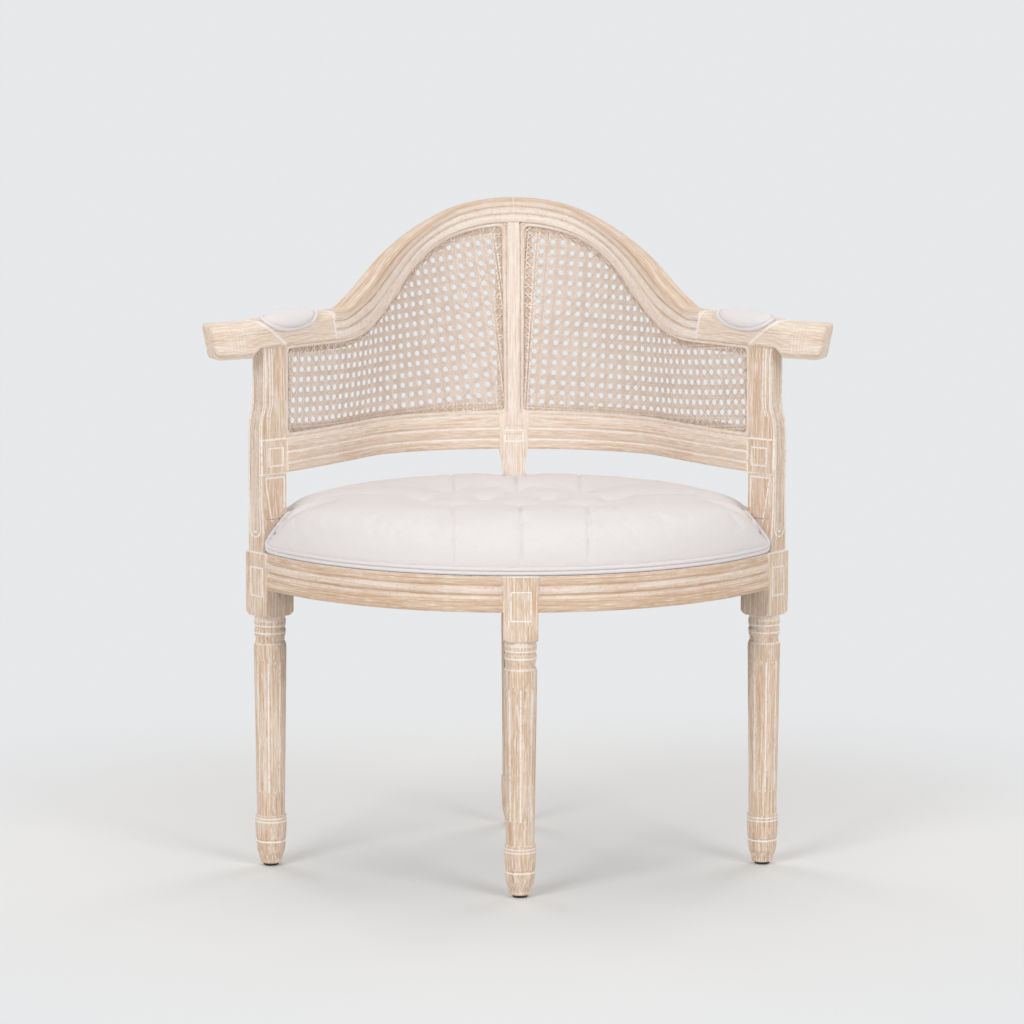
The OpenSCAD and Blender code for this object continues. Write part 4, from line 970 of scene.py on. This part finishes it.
def make_cane(name, side, material):
    rng = np.random.default_rng(11 + side)
    p, around = CANE_PITCH, len(STRAND)
    across, up = STRAND.T
    verts, faces, tone = [], [], []
    for a, b, da, db, width, kind in strand_lines():
        length = math.hypot(da, db)
        step = p / 2 if kind < 2 else p / math.sqrt(2) / 2
        t = np.arange(int(length / step) + 1) * step / length
        pa, pb = a + da * t, b + db * t
        s, z = cane_place(name, pa, pb)
        inside = (s > STILE_S - CANE_HOLD) & (s < POST_S + CANE_HOLD)
        inside &= (z > CANE_BOTTOM - CANE_HOLD) & (z < cane_z(np.clip(s, 0, POST_S)) + CANE_HOLD)
        # over and under, once in each pitch
        beat = np.cos(2 * np.pi * ((pb - (CANE_BOTTOM - CANE_BEYOND)) if kind == 0 else pa) / p)
        lift = (PAIR_LIFT, -PAIR_LIFT, DIAGONAL_LIFT, -DIAGONAL_LIFT)[kind] * beat
        shade = rng.uniform(0, 1)
        ds, dz = np.gradient(s), np.gradient(z)
        size = np.hypot(ds, dz)
        ns, nz = -dz / size, ds / size
        kept = np.nonzero(inside)[0]
        for part in np.split(kept, np.nonzero(np.diff(kept) > 1)[0] + 1):
            if len(part) < 2:
                continue
            i = part[:, None]
            first = len(verts)
            verts.extend(np.stack([s[i] + ns[i] * across * width / 2,
                                   z[i] + nz[i] * across * width / 2,
                                   lift[i] + up * STRAND_T / 2], axis=-1).reshape(-1, 3))
            tone += [shade] * (len(verts) - first)
            last = len(verts) - around
            for at in range(first, last, around):
                faces += [(at + q, at + (q + 1) % around, at + around + (q + 1) % around,
                           at + around + q) for q in range(around)]
            faces += [tuple(range(first + around - 1, first - 1, -1)),
                      tuple(range(last, last + around))]
    v = np.array(verts)
    mesh = bpy.data.meshes.new(name + "_woven_cane")
    mesh.from_pydata(spot(v[:, 0], v[:, 1], v[:, 2], side).tolist(), [], faces)
    store(mesh, "tone", tone)
    # how far out on a strand's sloping side a point lies; the cane material darkens it there,
    # partly as painted shade
    edge = np.maximum(0, (np.abs(across) - STRAND_FACE) / (1 - STRAND_FACE))
    store(mesh, "edge", np.tile(edge, len(v) // around))
    lay_map(mesh, v[:, :2])
    piece = bpy.data.objects.new(name + "_woven_cane", mesh)
    bpy.context.scene.collection.objects.link(piece)
    chosen(piece)
    turn_outward(50)
    finished(piece, material, "cane", name + "_cane")


# Cushion: its rim follows the rails and steps back round the posts and the stile
SEAT_MID = np.array([0.0, 0.005])
CUSHION_SET = 0.002
WALL_H = 0.0640
CROWN_H = 0.0680
CUSHION_Z = RAIL_TOP + 0.0003
WELT_D = 0.005
RIM_COUNT = 420
CLOTH_STEP = 0.004
POST_INNER = 0.0085
POST_FLARE = 0.004
POST_ROOM = 0.0006


def half_rim():
    """The right half of the cushion's rim, from the front to the back, as a fine path.
    Each row is x, y and how far along the post's inner face the point lies, 0 to 1."""
    rf, rb = FRONT_BOW_R - CUSHION_SET, BACK_BOW_R - CUSHION_SET
    corner = by_side_leg(HALF_BLOCK, -HALF_BLOCK - CUSHION_SET)
    u = POST_FRONT + POST_ROOM
    w = -POST_INNER - POST_FLARE - POST_ROOM
    behind = by_side_leg(-u, HALF_BLOCK - SIDE_RAIL_SET - CUSHION_SET)
    notch_x = STILE_NECK_W / 2 + POST_ROOM
    fall = math.tan(BACK_LEAN) * (CANE_BOTTOM - RAIL_TOP)
    notch_y = BACK_DEPTH - FRAME_FRONT - POST_ROOM - fall
    a0 = -math.acos(-FRONT_BOW[0] / rf)
    a1 = bearing(corner - FRONT_BOW)
    b0 = bearing(behind - BACK_BOW)
    b1 = math.acos((notch_x - BACK_BOW[0]) / rb)

    def bowed(centre, r, angles):
        return [(*(centre + r * np.array([math.cos(a), math.sin(a)])), 0.0) for a in angles]
    return np.array(
        bowed(FRONT_BOW, rf, np.linspace(a0, a1, 90))
        + [(*by_side_leg(u - 2 * u * t, w), t) for t in np.linspace(0.03, 1, 24)]
        + bowed(BACK_BOW, rb, np.linspace(b0, b1, 80))
        + [(x, notch_y, 0.0) for x in np.linspace(notch_x, 0, 5)[:-1]])


def whole_rim():
    right = half_rim()
    left = right[1:][::-1] * np.array([-1, 1, 1])
    rim = np.vstack([right, left])
    # spaced evenly along the way
    closed = np.vstack([rim, rim[:1]])
    far = np.concatenate([[0], np.cumsum(np.linalg.norm(np.diff(closed[:, :2], axis=0), axis=1))])
    even = np.linspace(0, far[-1], RIM_COUNT, endpoint=False)
    rim = np.stack([np.interp(even, far, closed[:, k]) for k in range(3)], axis=1)
    rim[:, :2] = smoothed(rim[:, :2], 1)
    return rim, even


# Buttons, and how deep and how wide each mark in the cover is
BUTTON_R = 0.0068
BUTTON_FLAT = 0.42
BUTTON_PROUD = 0.0006
BUTTON_PITCH = 0.078
BUTTON_ROW = 0.072
BUTTONS = [SEAT_MID + np.array([k * BUTTON_PITCH, row * BUTTON_ROW])
           for row in (-1, 0, 1) for k in ((-1.5, -0.5, 0.5, 1.5) if row == 0 else (-1, 0, 1))]
TUFT_DEPTH = 0.0075
TUFT_R = 0.025
TUFT_CORE = 0.0030
CORE_R = 0.0085
PLEAT_DEPTH = 0.0026
PLEAT_R = 0.0070
FOLD_DEPTH = 0.0032
FOLD_R = 0.0022
WELT_H = 2 * WELT_D
# Heights of the cover beside a post, at its front corner and at its rear end
POST_LOW_H = 0.012
POST_HIGH_H = 0.0525
# The cloth: its voxels, its frames, the pressure within, and how far it may swell
VOXEL = 0.0048
CLOTH_FRAMES = 20
PRESSURE = 4
SWELL = 0.007
# How much fuller the cushion is in front of the stile, and over what half width
FULLER = 0.007
FULLER_HALF = 0.024
# How steeply the top falls to a low part of the rim
STEEP = 26
# The cover's edge: how far in it stands, and the power of its rounding
EDGE_IN = 0.0008
SHOULDER = 2 / 2.3
# The foam's height and how far in it starts
FOAM_H = 0.034
FOAM_SET = 0.022


def pleat_lines():
    """Creases between neighbouring buttons of the diamond."""
    lines = []
    for i, p in enumerate(BUTTONS):
        for q in BUTTONS[i + 1:]:
            d = np.abs(q - p)
            if abs(d[0] - BUTTON_PITCH / 2) < 0.004 and abs(d[1] - BUTTON_ROW) < 0.004:
                lines.append((p, q))
    return lines


def fold_lines():
    """Straight folds from the outer rows of buttons to the front and back edges."""
    lines = []
    for k in (-1, 0, 1):
        for row in (-1, 1):
            p = SEAT_MID + np.array([k * BUTTON_PITCH, row * BUTTON_ROW])
            lines.append((p, p + np.array([k * 0.012, row * 0.3])))
    return lines


def off_line(p, a, b):
    d = b - a
    t = np.clip(((p - a) @ d) / (d @ d), 0, 1)
    return np.linalg.norm(p - a - t[:, None] * d, axis=1), t


def tufted(p):
    """How far the cover is drawn down round its buttons."""
    deep = np.zeros(len(p))
    for b in BUTTONS:
        r = np.linalg.norm(p - b, axis=1)
        deep = np.maximum(deep, TUFT_DEPTH * np.exp(-(r / TUFT_R) ** 2)
                          + TUFT_CORE * np.exp(-(r / CORE_R) ** 2))
    return deep


def creased(p):
    """Depth of the pleats between buttons, and of the folds that run out to the edges."""
    pleats, folds = np.zeros(len(p)), np.zeros(len(p))
    for a, b in pleat_lines():
        off, t = off_line(p, a, b)
        pleats = np.maximum(pleats, PLEAT_DEPTH * np.exp(-(off / PLEAT_R) ** 2)
                            * (0.6 + 0.4 * np.cos(2 * np.pi * t)))
    for a, b in fold_lines():
        off, t = off_line(p, a, b)
        beside = np.exp(-((off - 2.6 * FOLD_R) / (2 * FOLD_R)) ** 2)
        folds = np.maximum(folds, FOLD_DEPTH * np.exp(-(off / FOLD_R) ** 1.5)
                           - 0.35 * FOLD_DEPTH * beside)
    return pleats, folds


class Rim:
    """The cushion's rim, with what belongs to each of its points."""

    def __init__(self):
        rim, even = whole_rim()
        self.at, self.t = rim[:, :2], rim[:, 2]
        d = self.at - SEAT_MID
        self.size = np.linalg.norm(d, axis=1)
        self.unit = d / self.size[:, None]
        post = np.nonzero(self.t > 0.02)[0]
        right, left = post[self.at[post, 0] > 0], post[self.at[post, 0] < 0]
        ahead = np.minimum(np.abs(even - even[right[0]]), np.abs(even - even[left[-1]]))
        behind = np.minimum(np.abs(even - even[right[-1]]), np.abs(even - even[left[0]]))
        number = np.arange(len(even))
        back = (number > right[-1]) & (number < left[0])
        beside = self.t > 0.02
        rise = self.t ** 0.8
        high = np.where(back, WALL_H - (WALL_H - POST_HIGH_H) * np.exp(-behind / 0.022),
                        WALL_H - (WALL_H - POST_LOW_H) * np.exp(-(ahead / 0.020) ** 1.2))
        high = np.where(beside, POST_LOW_H + (POST_HIGH_H - POST_LOW_H) * rise, high)
        top = POST_HIGH_H - WELT_H
        climb = np.where(beside, top * rise,
                         np.where(back, top * np.exp(-(behind / 0.012) ** 2), 0))
        # a little fuller in front of the stile, where the top would sink
        high = high + np.where(back, FULLER * np.exp(-(self.at[:, 0] / FULLER_HALF) ** 2), 0)
        self.climb = smoothed(climb, 2)
        self.high = np.maximum(smoothed(high, 3), self.climb + WELT_H + 0.002)
        self.run = smoothed(np.where(beside, 0.012, np.where(back, 0.022, 0.030)), 12)
        self.angle = np.unwrap(np.arctan2(d[:, 1], d[:, 0]))

    def around(self, p, values):
        """Values of the rim's points in the direction of other points."""
        a = np.arctan2(p[:, 1] - SEAT_MID[1], p[:, 0] - SEAT_MID[0])
        angle = np.mod(self.angle, 2 * np.pi)
        order = np.argsort(angle)
        return np.interp(np.mod(a, 2 * np.pi), angle[order], values[order], period=2 * np.pi)


def over_foam(inset):
    """The least height of the cover at a distance in from the rim."""
    f = np.clip((inset - 0.006) / (FOAM_SET - 0.009), 0, 1)
    return (FOAM_H + 0.006) * f * f * (3 - 2 * f)


def swelled(piece, held, cap):
    """The cover as cloth blown up from within, and held where held(places) says."""
    bpy.context.view_layer.objects.active = piece
    mesher = piece.modifiers.new("voxels", "REMESH")
    mesher.mode = "VOXEL"
    mesher.voxel_size = VOXEL
    bpy.ops.object.modifier_apply(modifier=mesher.name)
    before = places_of(piece)
    group = piece.vertex_groups.new(name="held")
    for i in np.nonzero(held(before))[0]:
        group.add([int(i)], 1.0, "REPLACE")
    cloth = piece.modifiers.new("cloth", "CLOTH")
    how = cloth.settings
    how.quality = 5
    how.mass = 0.3
    how.tension_stiffness = how.compression_stiffness = 12
    how.shear_stiffness = 5
    how.bending_stiffness = 0.6
    how.use_pressure = True
    how.uniform_pressure_force = PRESSURE
    how.vertex_group_mass = "held"
    how.effector_weights.gravity = 0
    cloth.collision_settings.use_collision = False
    scene = bpy.context.scene
    for frame_number in range(1, CLOTH_FRAMES + 1):
        scene.frame_set(frame_number)
    way = places_of(piece.evaluated_get(bpy.context.evaluated_depsgraph_get())) - before
    far = np.linalg.norm(way, axis=1, keepdims=True)
    piece.modifiers.remove(cloth)
    piece.vertex_groups.remove(group)
    scene.frame_set(1)
    put(piece, before + way * np.minimum(1, cap / np.maximum(far, 1e-9)))
    finer = piece.modifiers.new("finer", "SUBSURF")
    finer.levels = 1
    bpy.ops.object.modifier_apply(modifier=finer.name)


def make_cushion(material, rim):
    side_rows, crown_rows = 18, 60
    girth = np.arange(RIM_COUNT + 1) * CLOTH_STEP
    rings = []

    def ring(radial, z):
        p = SEAT_MID + rim.unit * radial[:, None]
        rings.append(np.stack([p[:, 0], p[:, 1] - MIDDLE_Y,
                               CUSHION_Z + np.broadcast_to(z, len(p))], axis=1))
        return p
    inner = rim.size - WELT_D - 0.0003
    base = rim.climb + WELT_H
    ring(inner, 0)
    ring(inner, base - 0.003)
    for a in np.linspace(0, np.pi / 2, side_rows):
        d = EDGE_IN + rim.run * (1 - math.cos(a) ** SHOULDER)
        ring(rim.size - d, base + 0.0003 + (rim.high - base) * math.sin(a) ** SHOULDER)
    start = rim.size - EDGE_IN - rim.run
    q0 = start / rim.size
    level = WALL_H + (CROWN_H - WALL_H) * (1 - q0 ** 2)
    lower = (level - rim.high) / q0 ** STEEP
    for f in np.linspace(1, 0, crown_rows)[1:-1]:
        q = q0 * f
        p = SEAT_MID + rim.unit * (start * f)[:, None]
        z = WALL_H + (CROWN_H - WALL_H) * (1 - q ** 2) - lower * q ** STEEP - tufted(p)
        ring(start * f, np.maximum(z, over_foam(rim.size - start * f)))
    piece = skinned("seat_cover", rings, (girth, np.arange(len(rings)) * CLOTH_STEP), None, 180)

    def plan(places):
        return places[:, :2] + np.array([0, MIDDLE_Y])

    def held(places):
        p = plan(places)
        edge = rim.around(p, rim.size) - np.linalg.norm(p - SEAT_MID, axis=1)
        low = places[:, 2] - CUSHION_Z < rim.around(p, base) + 0.004
        post = (rim.around(p, rim.t) > 0.02) & (edge < 0.012)
        button = np.min([np.linalg.norm(p - b, axis=1) for b in BUTTONS], axis=0) < 0.009
        return (low & (edge < 0.012)) | (places[:, 2] < CUSHION_Z + 0.003) | post | button
    swelled(piece, held, SWELL)
    places = places_of(piece)
    p = plan(places)
    pleats, folds = creased(p)
    way = p - SEAT_MID
    radial = np.maximum(np.linalg.norm(way, axis=1), 1e-6)
    edge = rim.around(p, rim.size)
    level = np.clip((places[:, 2] - CUSHION_Z - WELT_H) / 0.02, 0, 1)
    top = np.clip((edge - radial - 0.004) / 0.016, 0, 1)
    places[:, 2] -= (pleats * top + folds * (0.35 + 0.65 * top)) * level
    upper = places[:, 2] > CUSHION_Z + 0.016
    least = CUSHION_Z + over_foam(edge - radial) - 0.001
    places[:, 2] = np.where(upper, np.maximum(places[:, 2], least), places[:, 2])
    room = np.where(rim.around(p, rim.t) > 0.02, -0.0003, 0.0012)
    out = np.minimum(radial, edge + room) - folds * (1 - top) * level
    places[:, :2] = SEAT_MID - np.array([0, MIDDLE_Y]) + way / radial[:, None] * out[:, None]
    put(piece, places)
    chosen(piece)
    bpy.ops.object.shade_smooth()
    finished(piece, material, "linen", "seat_cushion")
    return piece


def make_welt(material, rim):
    """Two cords side by side round the foot of the cushion, climbing at the posts."""
    a = 2 * np.pi * np.arange(20) / 20
    for k, name in enumerate(("lower_welt_cord", "upper_welt_cord")):
        out = -WELT_D / 2 + WELT_D / 2 * np.cos(a)
        up = WELT_D / 2 + WELT_D / 2 * np.sin(a) + k * WELT_D
        rings = []
        for p, unit, climb in zip(rim.at, rim.unit, rim.climb):
            rings.append(np.stack([p[0] + unit[0] * out, p[1] + unit[1] * out - MIDDLE_Y,
                                   CUSHION_Z + up + climb], axis=1))
        flat = (np.arange(21) * 0.0008, np.arange(RIM_COUNT) * CLOTH_STEP)
        finished(skinned(name, rings, flat, None, 180, True), material, "linen", "seat_welt")


def make_buttons(material, cover):
    places = places_of(cover)
    pieces = []
    for b in BUTTONS:
        near = np.hypot(places[:, 0] - b[0], places[:, 1] + MIDDLE_Y - b[1]) < 0.004
        z = float(places[near & (places[:, 2] > CUSHION_Z + 0.03), 2].mean())
        chosen()
        bpy.ops.mesh.primitive_uv_sphere_add(
            segments=32, ring_count=16, radius=BUTTON_R,
            location=(b[0], b[1] - MIDDLE_Y, z + BUTTON_PROUD))
        bpy.ops.transform.resize(value=(1, 1, BUTTON_FLAT))
        bpy.ops.object.transform_apply(location=True, rotation=True, scale=True)
        bpy.ops.object.shade_smooth()
        pieces.append(bpy.context.object)
    chosen(*pieces)
    bpy.ops.object.join()
    piece = bpy.context.object
    piece.name = "covered_buttons"
    finished(piece, material, "linen", "tuft_buttons")


# Arm pads over the rounded inner edge of the arms
PAD_MID = 0.377
PAD_MID_W = 0.0155
PAD_W = 0.033
PAD_L = 0.084
PAD_T = 0.008
PIPING_R = 0.0024
PAD_OFF = 0.0003


def pad_spot(s, w, h, side):
    """A point w along the arm's section from the foot of its rounded edge, h above it."""
    r = ARM_ROUND
    turn = np.clip(w / r, 0, np.pi / 2)
    over = np.clip(w - r * np.pi / 2, 0, None)
    under = np.clip(w, None, 0)
    z = arm_over(s) - r + under + (r + h) * np.sin(turn)
    n = -FRAME_FRONT + r - (r + h) * np.cos(turn) + over
    return spot(s, z, n, side)


def make_pad(name, side, material):
    rings, around = 30, 96

    def place(u, v):
        a = 2 * np.pi * u
        row = np.rint(v * 2 * rings).astype(int)
        top = row >= rings
        q = np.where(top, (2 * rings - row) / rings, row / rings)
        h = np.where(top, PAD_T * np.clip(1 - q ** 7, 0, 1) ** 0.5, 0) + PAD_OFF
        s = PAD_MID + q * PAD_L / 2 * np.cos(a)
        w = PAD_MID_W + q * PAD_W / 2 * np.sin(a)
        return pad_spot(s, w, h, side), np.stack([s, w], axis=1), 0.0
    piece = laid_grid(name + "_padded_rest", around, 2 * rings, place, 180)
    finished(piece, material, "linen", name + "_arm_pad")

    def cord(u, v):
        a = 2 * np.pi * v
        b = 2 * np.pi * u
        out = PIPING_R * (0.55 + np.cos(b))
        h = PAD_OFF + PIPING_R * (1 + np.sin(b))
        s = PAD_MID + (PAD_L / 2 + out) * np.cos(a)
        w = PAD_MID_W + (PAD_W / 2 + out) * np.sin(a)
        return pad_spot(s, w, h, side), np.stack([u * 0.012, v * 0.23], axis=1), 0.0
    piece = laid_grid(name + "_piped_edge", 14, 160, cord, 180)
    finished(piece, material, "linen", name + "_pad_piping")


# Paint rubbed into the marks of the CAD pieces
def by_turned_block(n, where):
    """Distances along and out from the side leg, and height, the same on both sides."""
    x, y, z = n.parts(where)
    dx = abs(x) - float(SIDE_LEG[0])
    dy = y - float(SIDE_LEG[1] - MIDDLE_Y)
    c, s = math.cos(BLOCK_TURN), math.sin(BLOCK_TURN)
    return dx * c - dy * s, dx * s + dy * c, z


# The rectangle on a leg's block: its height and its half width and height
MARK_Z = 0.3602
MARK_HALF = (0.01195, 0.0176)
ON_FACE = HALF_BLOCK - 0.0015
POST_H = CANE_SIDE_TOP - RAIL_TOP
# A post's front edge, as rows of (share forward, share up)
POST_SHARES = [(0.86, 0), (0.93, 0.13), (1, 0.3), (1, 0.56), (0.94, 0.6), (0.71, 0.65),
               (0.26, 0.69), (0.03, 0.73), (0, 0.77), (0, 0.93), (0.09, 0.97), (0.29, 1)]


def rectangle(across, z, middle, half_w, half_h, half=0.0010):
    return ((abs(across) - half_w) | (abs(z - middle) - half_h)).near(0, half)


def block_lines(kind):
    """Paint in the marks of a leg's block and along its edges."""
    def lines(n, where):
        if kind == "side":
            u, v, z = by_turned_block(n, where)
            mask = (rectangle(v, z, MARK_Z, *MARK_HALF) * u.above(ON_FACE)
                    | rectangle(u, z, MARK_Z, *MARK_HALF) * v.above(ON_FACE))
        else:
            x, y, z = n.parts(where)
            out = ((y + (FRONT_LEG_Y + MIDDLE_Y)) * -1 if kind == "front"
                   else y - (BACK_LEG_Y - MIDDLE_Y))
            mask = rectangle(x, z, MARK_Z, *MARK_HALF) * out.above(ON_FACE)
        return mask | z.above(RAIL_TOP - 0.0014) * 0.8
    return lines


# A leg's full radius, the heights it tapers between and its share left at the foot, the
# heights that the flutes run between, and the heights of its sharp and its soft rings
LEG_R = 0.0203
TAPER = (0.066, 0.2750)
TAPER_TO = 0.855
FLUTES = (0.095, 0.259)
RINGS = (0.0316, 0.0570, 0.0612, 0.2952, 0.3043)
FAINT_RING = 0.2817
HOLLOW_RING = 0.3130


def leg_lines(kind, x, y):
    """Paint in the flutes and in the rings of a leg that stands at x, y."""
    def lines(n, where):
        px, py, z = n.parts(where)
        r = (px - x).hypot(py - y)
        full = Value(n, n.add("ShaderNodeMapRange", {
            "Value": z, "From Min": TAPER[0], "From Max": TAPER[1],
            "To Min": TAPER_TO * LEG_R, "To Max": LEG_R}).outputs[0])
        mask = (full - r).above(0.00075, 0.00025) * z.above(FLUTES[0] - 0.001, 0.001) * z.below(
            FLUTES[1] - 0.001, 0.001)
        for ring in RINGS:
            mask = mask | z.near(ring, 0.0008)
        mask = mask | z.near(FAINT_RING, 0.0008) * 0.6 | z.near(HOLLOW_RING, 0.0035) * 0.45
        return mask | block_lines(kind)(n, where)
    return lines


# Marks of a post, measured along and out from the side leg, and up. The reeds: their
# middle, the height their loops close at, and how far off the middle they run
REED_MID = 0.0035
REED_LOOP_Z = 0.4255
REEDS = (0.0103, 0.0040)
# The front edge: its rearmost place, its swing, and the lines that follow it
POST_EDGE = 0.013
POST_SWING = 0.007
EDGE_LINE = 0.0018
HEAD_LINES = (0.0085, 0.0120)
HEAD_Z = 0.565
# The raised square: its edges up and down, its middle and its half width
SQUARE_Z = (0.4935, 0.5365)
SQUARE_MID = (-0.003, 0.51475)
SQUARE_HALF = 0.011
# The panel under the square: its front and rear lines, the front's slope, and its top
PANEL_FRONT = 0.0115
PANEL_REAR = 0.0167
PANEL_SLOPE = 0.16
PANEL_Z = 0.486
PANEL_TOP = 0.4885


def post_lines(n, where):
    """Paint in the marks of a post."""
    u, v, z = by_turned_block(n, where)
    # the reeded front, where the lines close in a loop below
    off = (v - REED_MID).hypot(n.maths("MINIMUM", z - REED_LOOP_Z))
    reeds = (off.near(REEDS[0]) | off.near(REEDS[1])) * u.above(0.005)
    # the side that faces the seat
    curve = n.add("ShaderNodeFloatCurve", {"Value": (z - RAIL_TOP) * (1 / POST_H)})
    points = curve.mapping.curves[0].points
    points[0].location, points[1].location = POST_SHARES[0][::-1], POST_SHARES[-1][::-1]
    for across, up in POST_SHARES[1:-1]:
        points.new(up, across)
    curve.mapping.update()
    inset = Value(n, curve.outputs[0]) * POST_SWING + POST_EDGE - u
    head = inset.near(HEAD_LINES[0], 0.0008) | inset.near(HEAD_LINES[1], 0.0008)
    lines = inset.near(EDGE_LINE, 0.0009) | head * z.above(HEAD_Z)
    lines = lines | z.near(SQUARE_Z[0]) | z.near(SQUARE_Z[1])
    lines = lines | rectangle(u - SQUARE_MID[0], z, SQUARE_MID[1], SQUARE_HALF, SQUARE_HALF, 0.0011)
    slanting = (u - (z - PANEL_Z) * PANEL_SLOPE - PANEL_FRONT).near(0, 0.0009)
    panel = slanting * z.above(0.434) | u.near(-PANEL_REAR, 0.0009) * z.above(0.45)
    lines = lines | panel * z.below(0.488)
    lines = lines | z.near(PANEL_TOP, 0.0009) * u.above(-PANEL_REAR) * u.below(PANEL_FRONT)
    return reeds | lines * v.below(-0.006)


# The rectangle on the stile's block: how far up it is, and its half width and height
STILE_MARK_UP = 0.0170
STILE_MARK_HALF = (0.0117, 0.0070)


def stile_lines(n, where):
    """Paint in the mark of the stile's block, and a little all over."""
    x, y, z = n.parts(where)
    return rectangle(x, z, LOW_RAIL_BOTTOM + STILE_MARK_UP, *STILE_MARK_HALF) | 0.20


# Plain finishes by slot: name, colour, roughness, scale of the mottle, and metal
FINISHES = {
    "raw_oak": ("sanded_oak", (0.56, 0.40, 0.24, 1), 0.7, 120.0),
    "glide": ("dark_steel", (0.06, 0.055, 0.05, 1), 0.45, 300.0, 0.6),
    "screw": ("zinc", (0.45, 0.44, 0.42, 1), 0.35, 300.0, 0.9),
    "board": ("plywood", (0.58, 0.42, 0.23, 1), 0.75, 60.0),
    "foam": ("foam", (0.83, 0.75, 0.45, 1), 0.95, 900.0),
    "dust_cloth": ("black_cloth", (0.012, 0.012, 0.014, 1), 0.9, 1200.0)}


def dress_cad():
    finishes = {slot: plain(*row) for slot, row in FINISHES.items()}
    slots = {row["node"]: row["material_slot"] for row in frame["record"]["subparts"]}
    upright = limed_oak("limed_oak_upright")

    def leg(name, kind, x, y):
        marks = leg_lines(kind, float(x), float(y - MIDDLE_Y))
        return limed_oak("limed_oak_" + name, lines=marks)
    own = {
        "front_leg": leg("front_leg", "front", 0, -FRONT_LEG_Y),
        "left_leg": leg("left_leg", "side", -SIDE_LEG[0], SIDE_LEG[1]),
        "right_leg": leg("right_leg", "side", SIDE_LEG[0], SIDE_LEG[1]),
        "back_leg": limed_oak("limed_oak_back_leg", (-BACK_RAKE, 0, 0), lines=block_lines("back")),
        "centre_stile": limed_oak("limed_oak_stile", (BACK_LEAN, 0, 0), lime=1.1,
                                  lines=stile_lines)}
    posts = limed_oak("limed_oak_posts", lines=post_lines)
    for name, node in NODES.items():
        material = (finishes.get(slots[name]) or own.get(name)
                    or (posts if "post" in name else upright))
        node.data.materials.clear()
        node.data.materials.append(material)


def looked_at(n):
    """Whether a ray comes from the camera, straight or by way of gloss or glass."""
    path = n.add("ShaderNodeLightPath").outputs
    return Value(n, path["Is Camera Ray"]) | (
        Value(n, path["Is Glossy Ray"]) | path["Is Transmission Ray"])


WORLD_LIGHT = 0.50
# How far from the chair's middle the floor begins and ends to fade
FLOOR_FADES = (0.4, 1.3)


def make_room():
    """A pale floor that fades away from the chair into a backdrop of one plain tone."""
    chosen()
    bpy.ops.mesh.primitive_plane_add(size=60)
    floor = bpy.context.object
    floor.name = "floor"
    material, n, shader = new_material("pale_floor", 0.8)
    where = n.own_place()
    n.set(shader["Base Color"], n.blend(n.noise(where, 3.0), FLOOR_DEEP, FLOOR_PALE))
    flat = n.vector("MULTIPLY", {0: where, 1: (1, 1, 0)})
    far = Value(n, n.vector("LENGTH", {0: flat}, "Value")).ramp(*FLOOR_FADES)
    glow = n.add("ShaderNodeEmission", {"Color": BACKDROP, "Strength": 1.0})
    output = [node for node in n.tree.nodes if node.type == "OUTPUT_MATERIAL"][0]
    surface = output.inputs["Surface"]
    mix = n.add("ShaderNodeMixShader", {0: looked_at(n) * far, 2: glow.outputs[0],
                                        1: surface.links[0].from_socket})
    n.set(surface, mix.outputs[0])
    floor.data.materials.append(material)
    world = bpy.data.worlds.new("studio")
    world.use_nodes = True
    bpy.context.scene.world = world
    world.node_tree.nodes.clear()
    n = Nodes(world.node_tree)
    lit = n.add("ShaderNodeBackground", {"Color": (1, 1, 1, 1), "Strength": WORLD_LIGHT})
    seen = n.add("ShaderNodeBackground", {"Color": BACKDROP, "Strength": 1.0})
    mix = n.add("ShaderNodeMixShader", {0: looked_at(n), 1: lit.outputs[0], 2: seen.outputs[0]})
    n.add("ShaderNodeOutputWorld", {"Surface": mix.outputs[0]})
    for lamp in LAMPS:
        make_lamp(*lamp)


bpy.context.scene.view_settings.view_transform = "Standard"
make_camera()
make_room()
dress_cad()
rail_oak = limed_oak("limed_oak_rails", flat=True, lime=0.3)
low_rail_oak = limed_oak("limed_oak_lower_rails", flat=True, lime=0.85)
crest_oak = limed_oak("limed_oak_crest", flat=True, lime=0.5)
arm_oak = limed_oak("limed_oak_arms", flat=True, lime=0.9)
reed = limed_oak("limed_reed", flat=True, lime=1.2)
cane = cane_material()
cover = linen("linen_cover")
for where in ("front", "back"):
    for name, side in SIDES.items():
        make_seat_rail(where, name, side, rail_oak)
for name, side in SIDES.items():
    make_crest(name, side, crest_oak)
    make_low_rail(name, side, low_rail_oak)
    make_arm(name, side, arm_oak)
    make_spline(name, side, reed, crest_oak)
    make_cane(name, side, cane)
    make_pad(name, side, cover)
rim = Rim()
seat_cover = make_cushion(cover, rim)
make_welt(cover, rim)
make_buttons(cover, seat_cover)
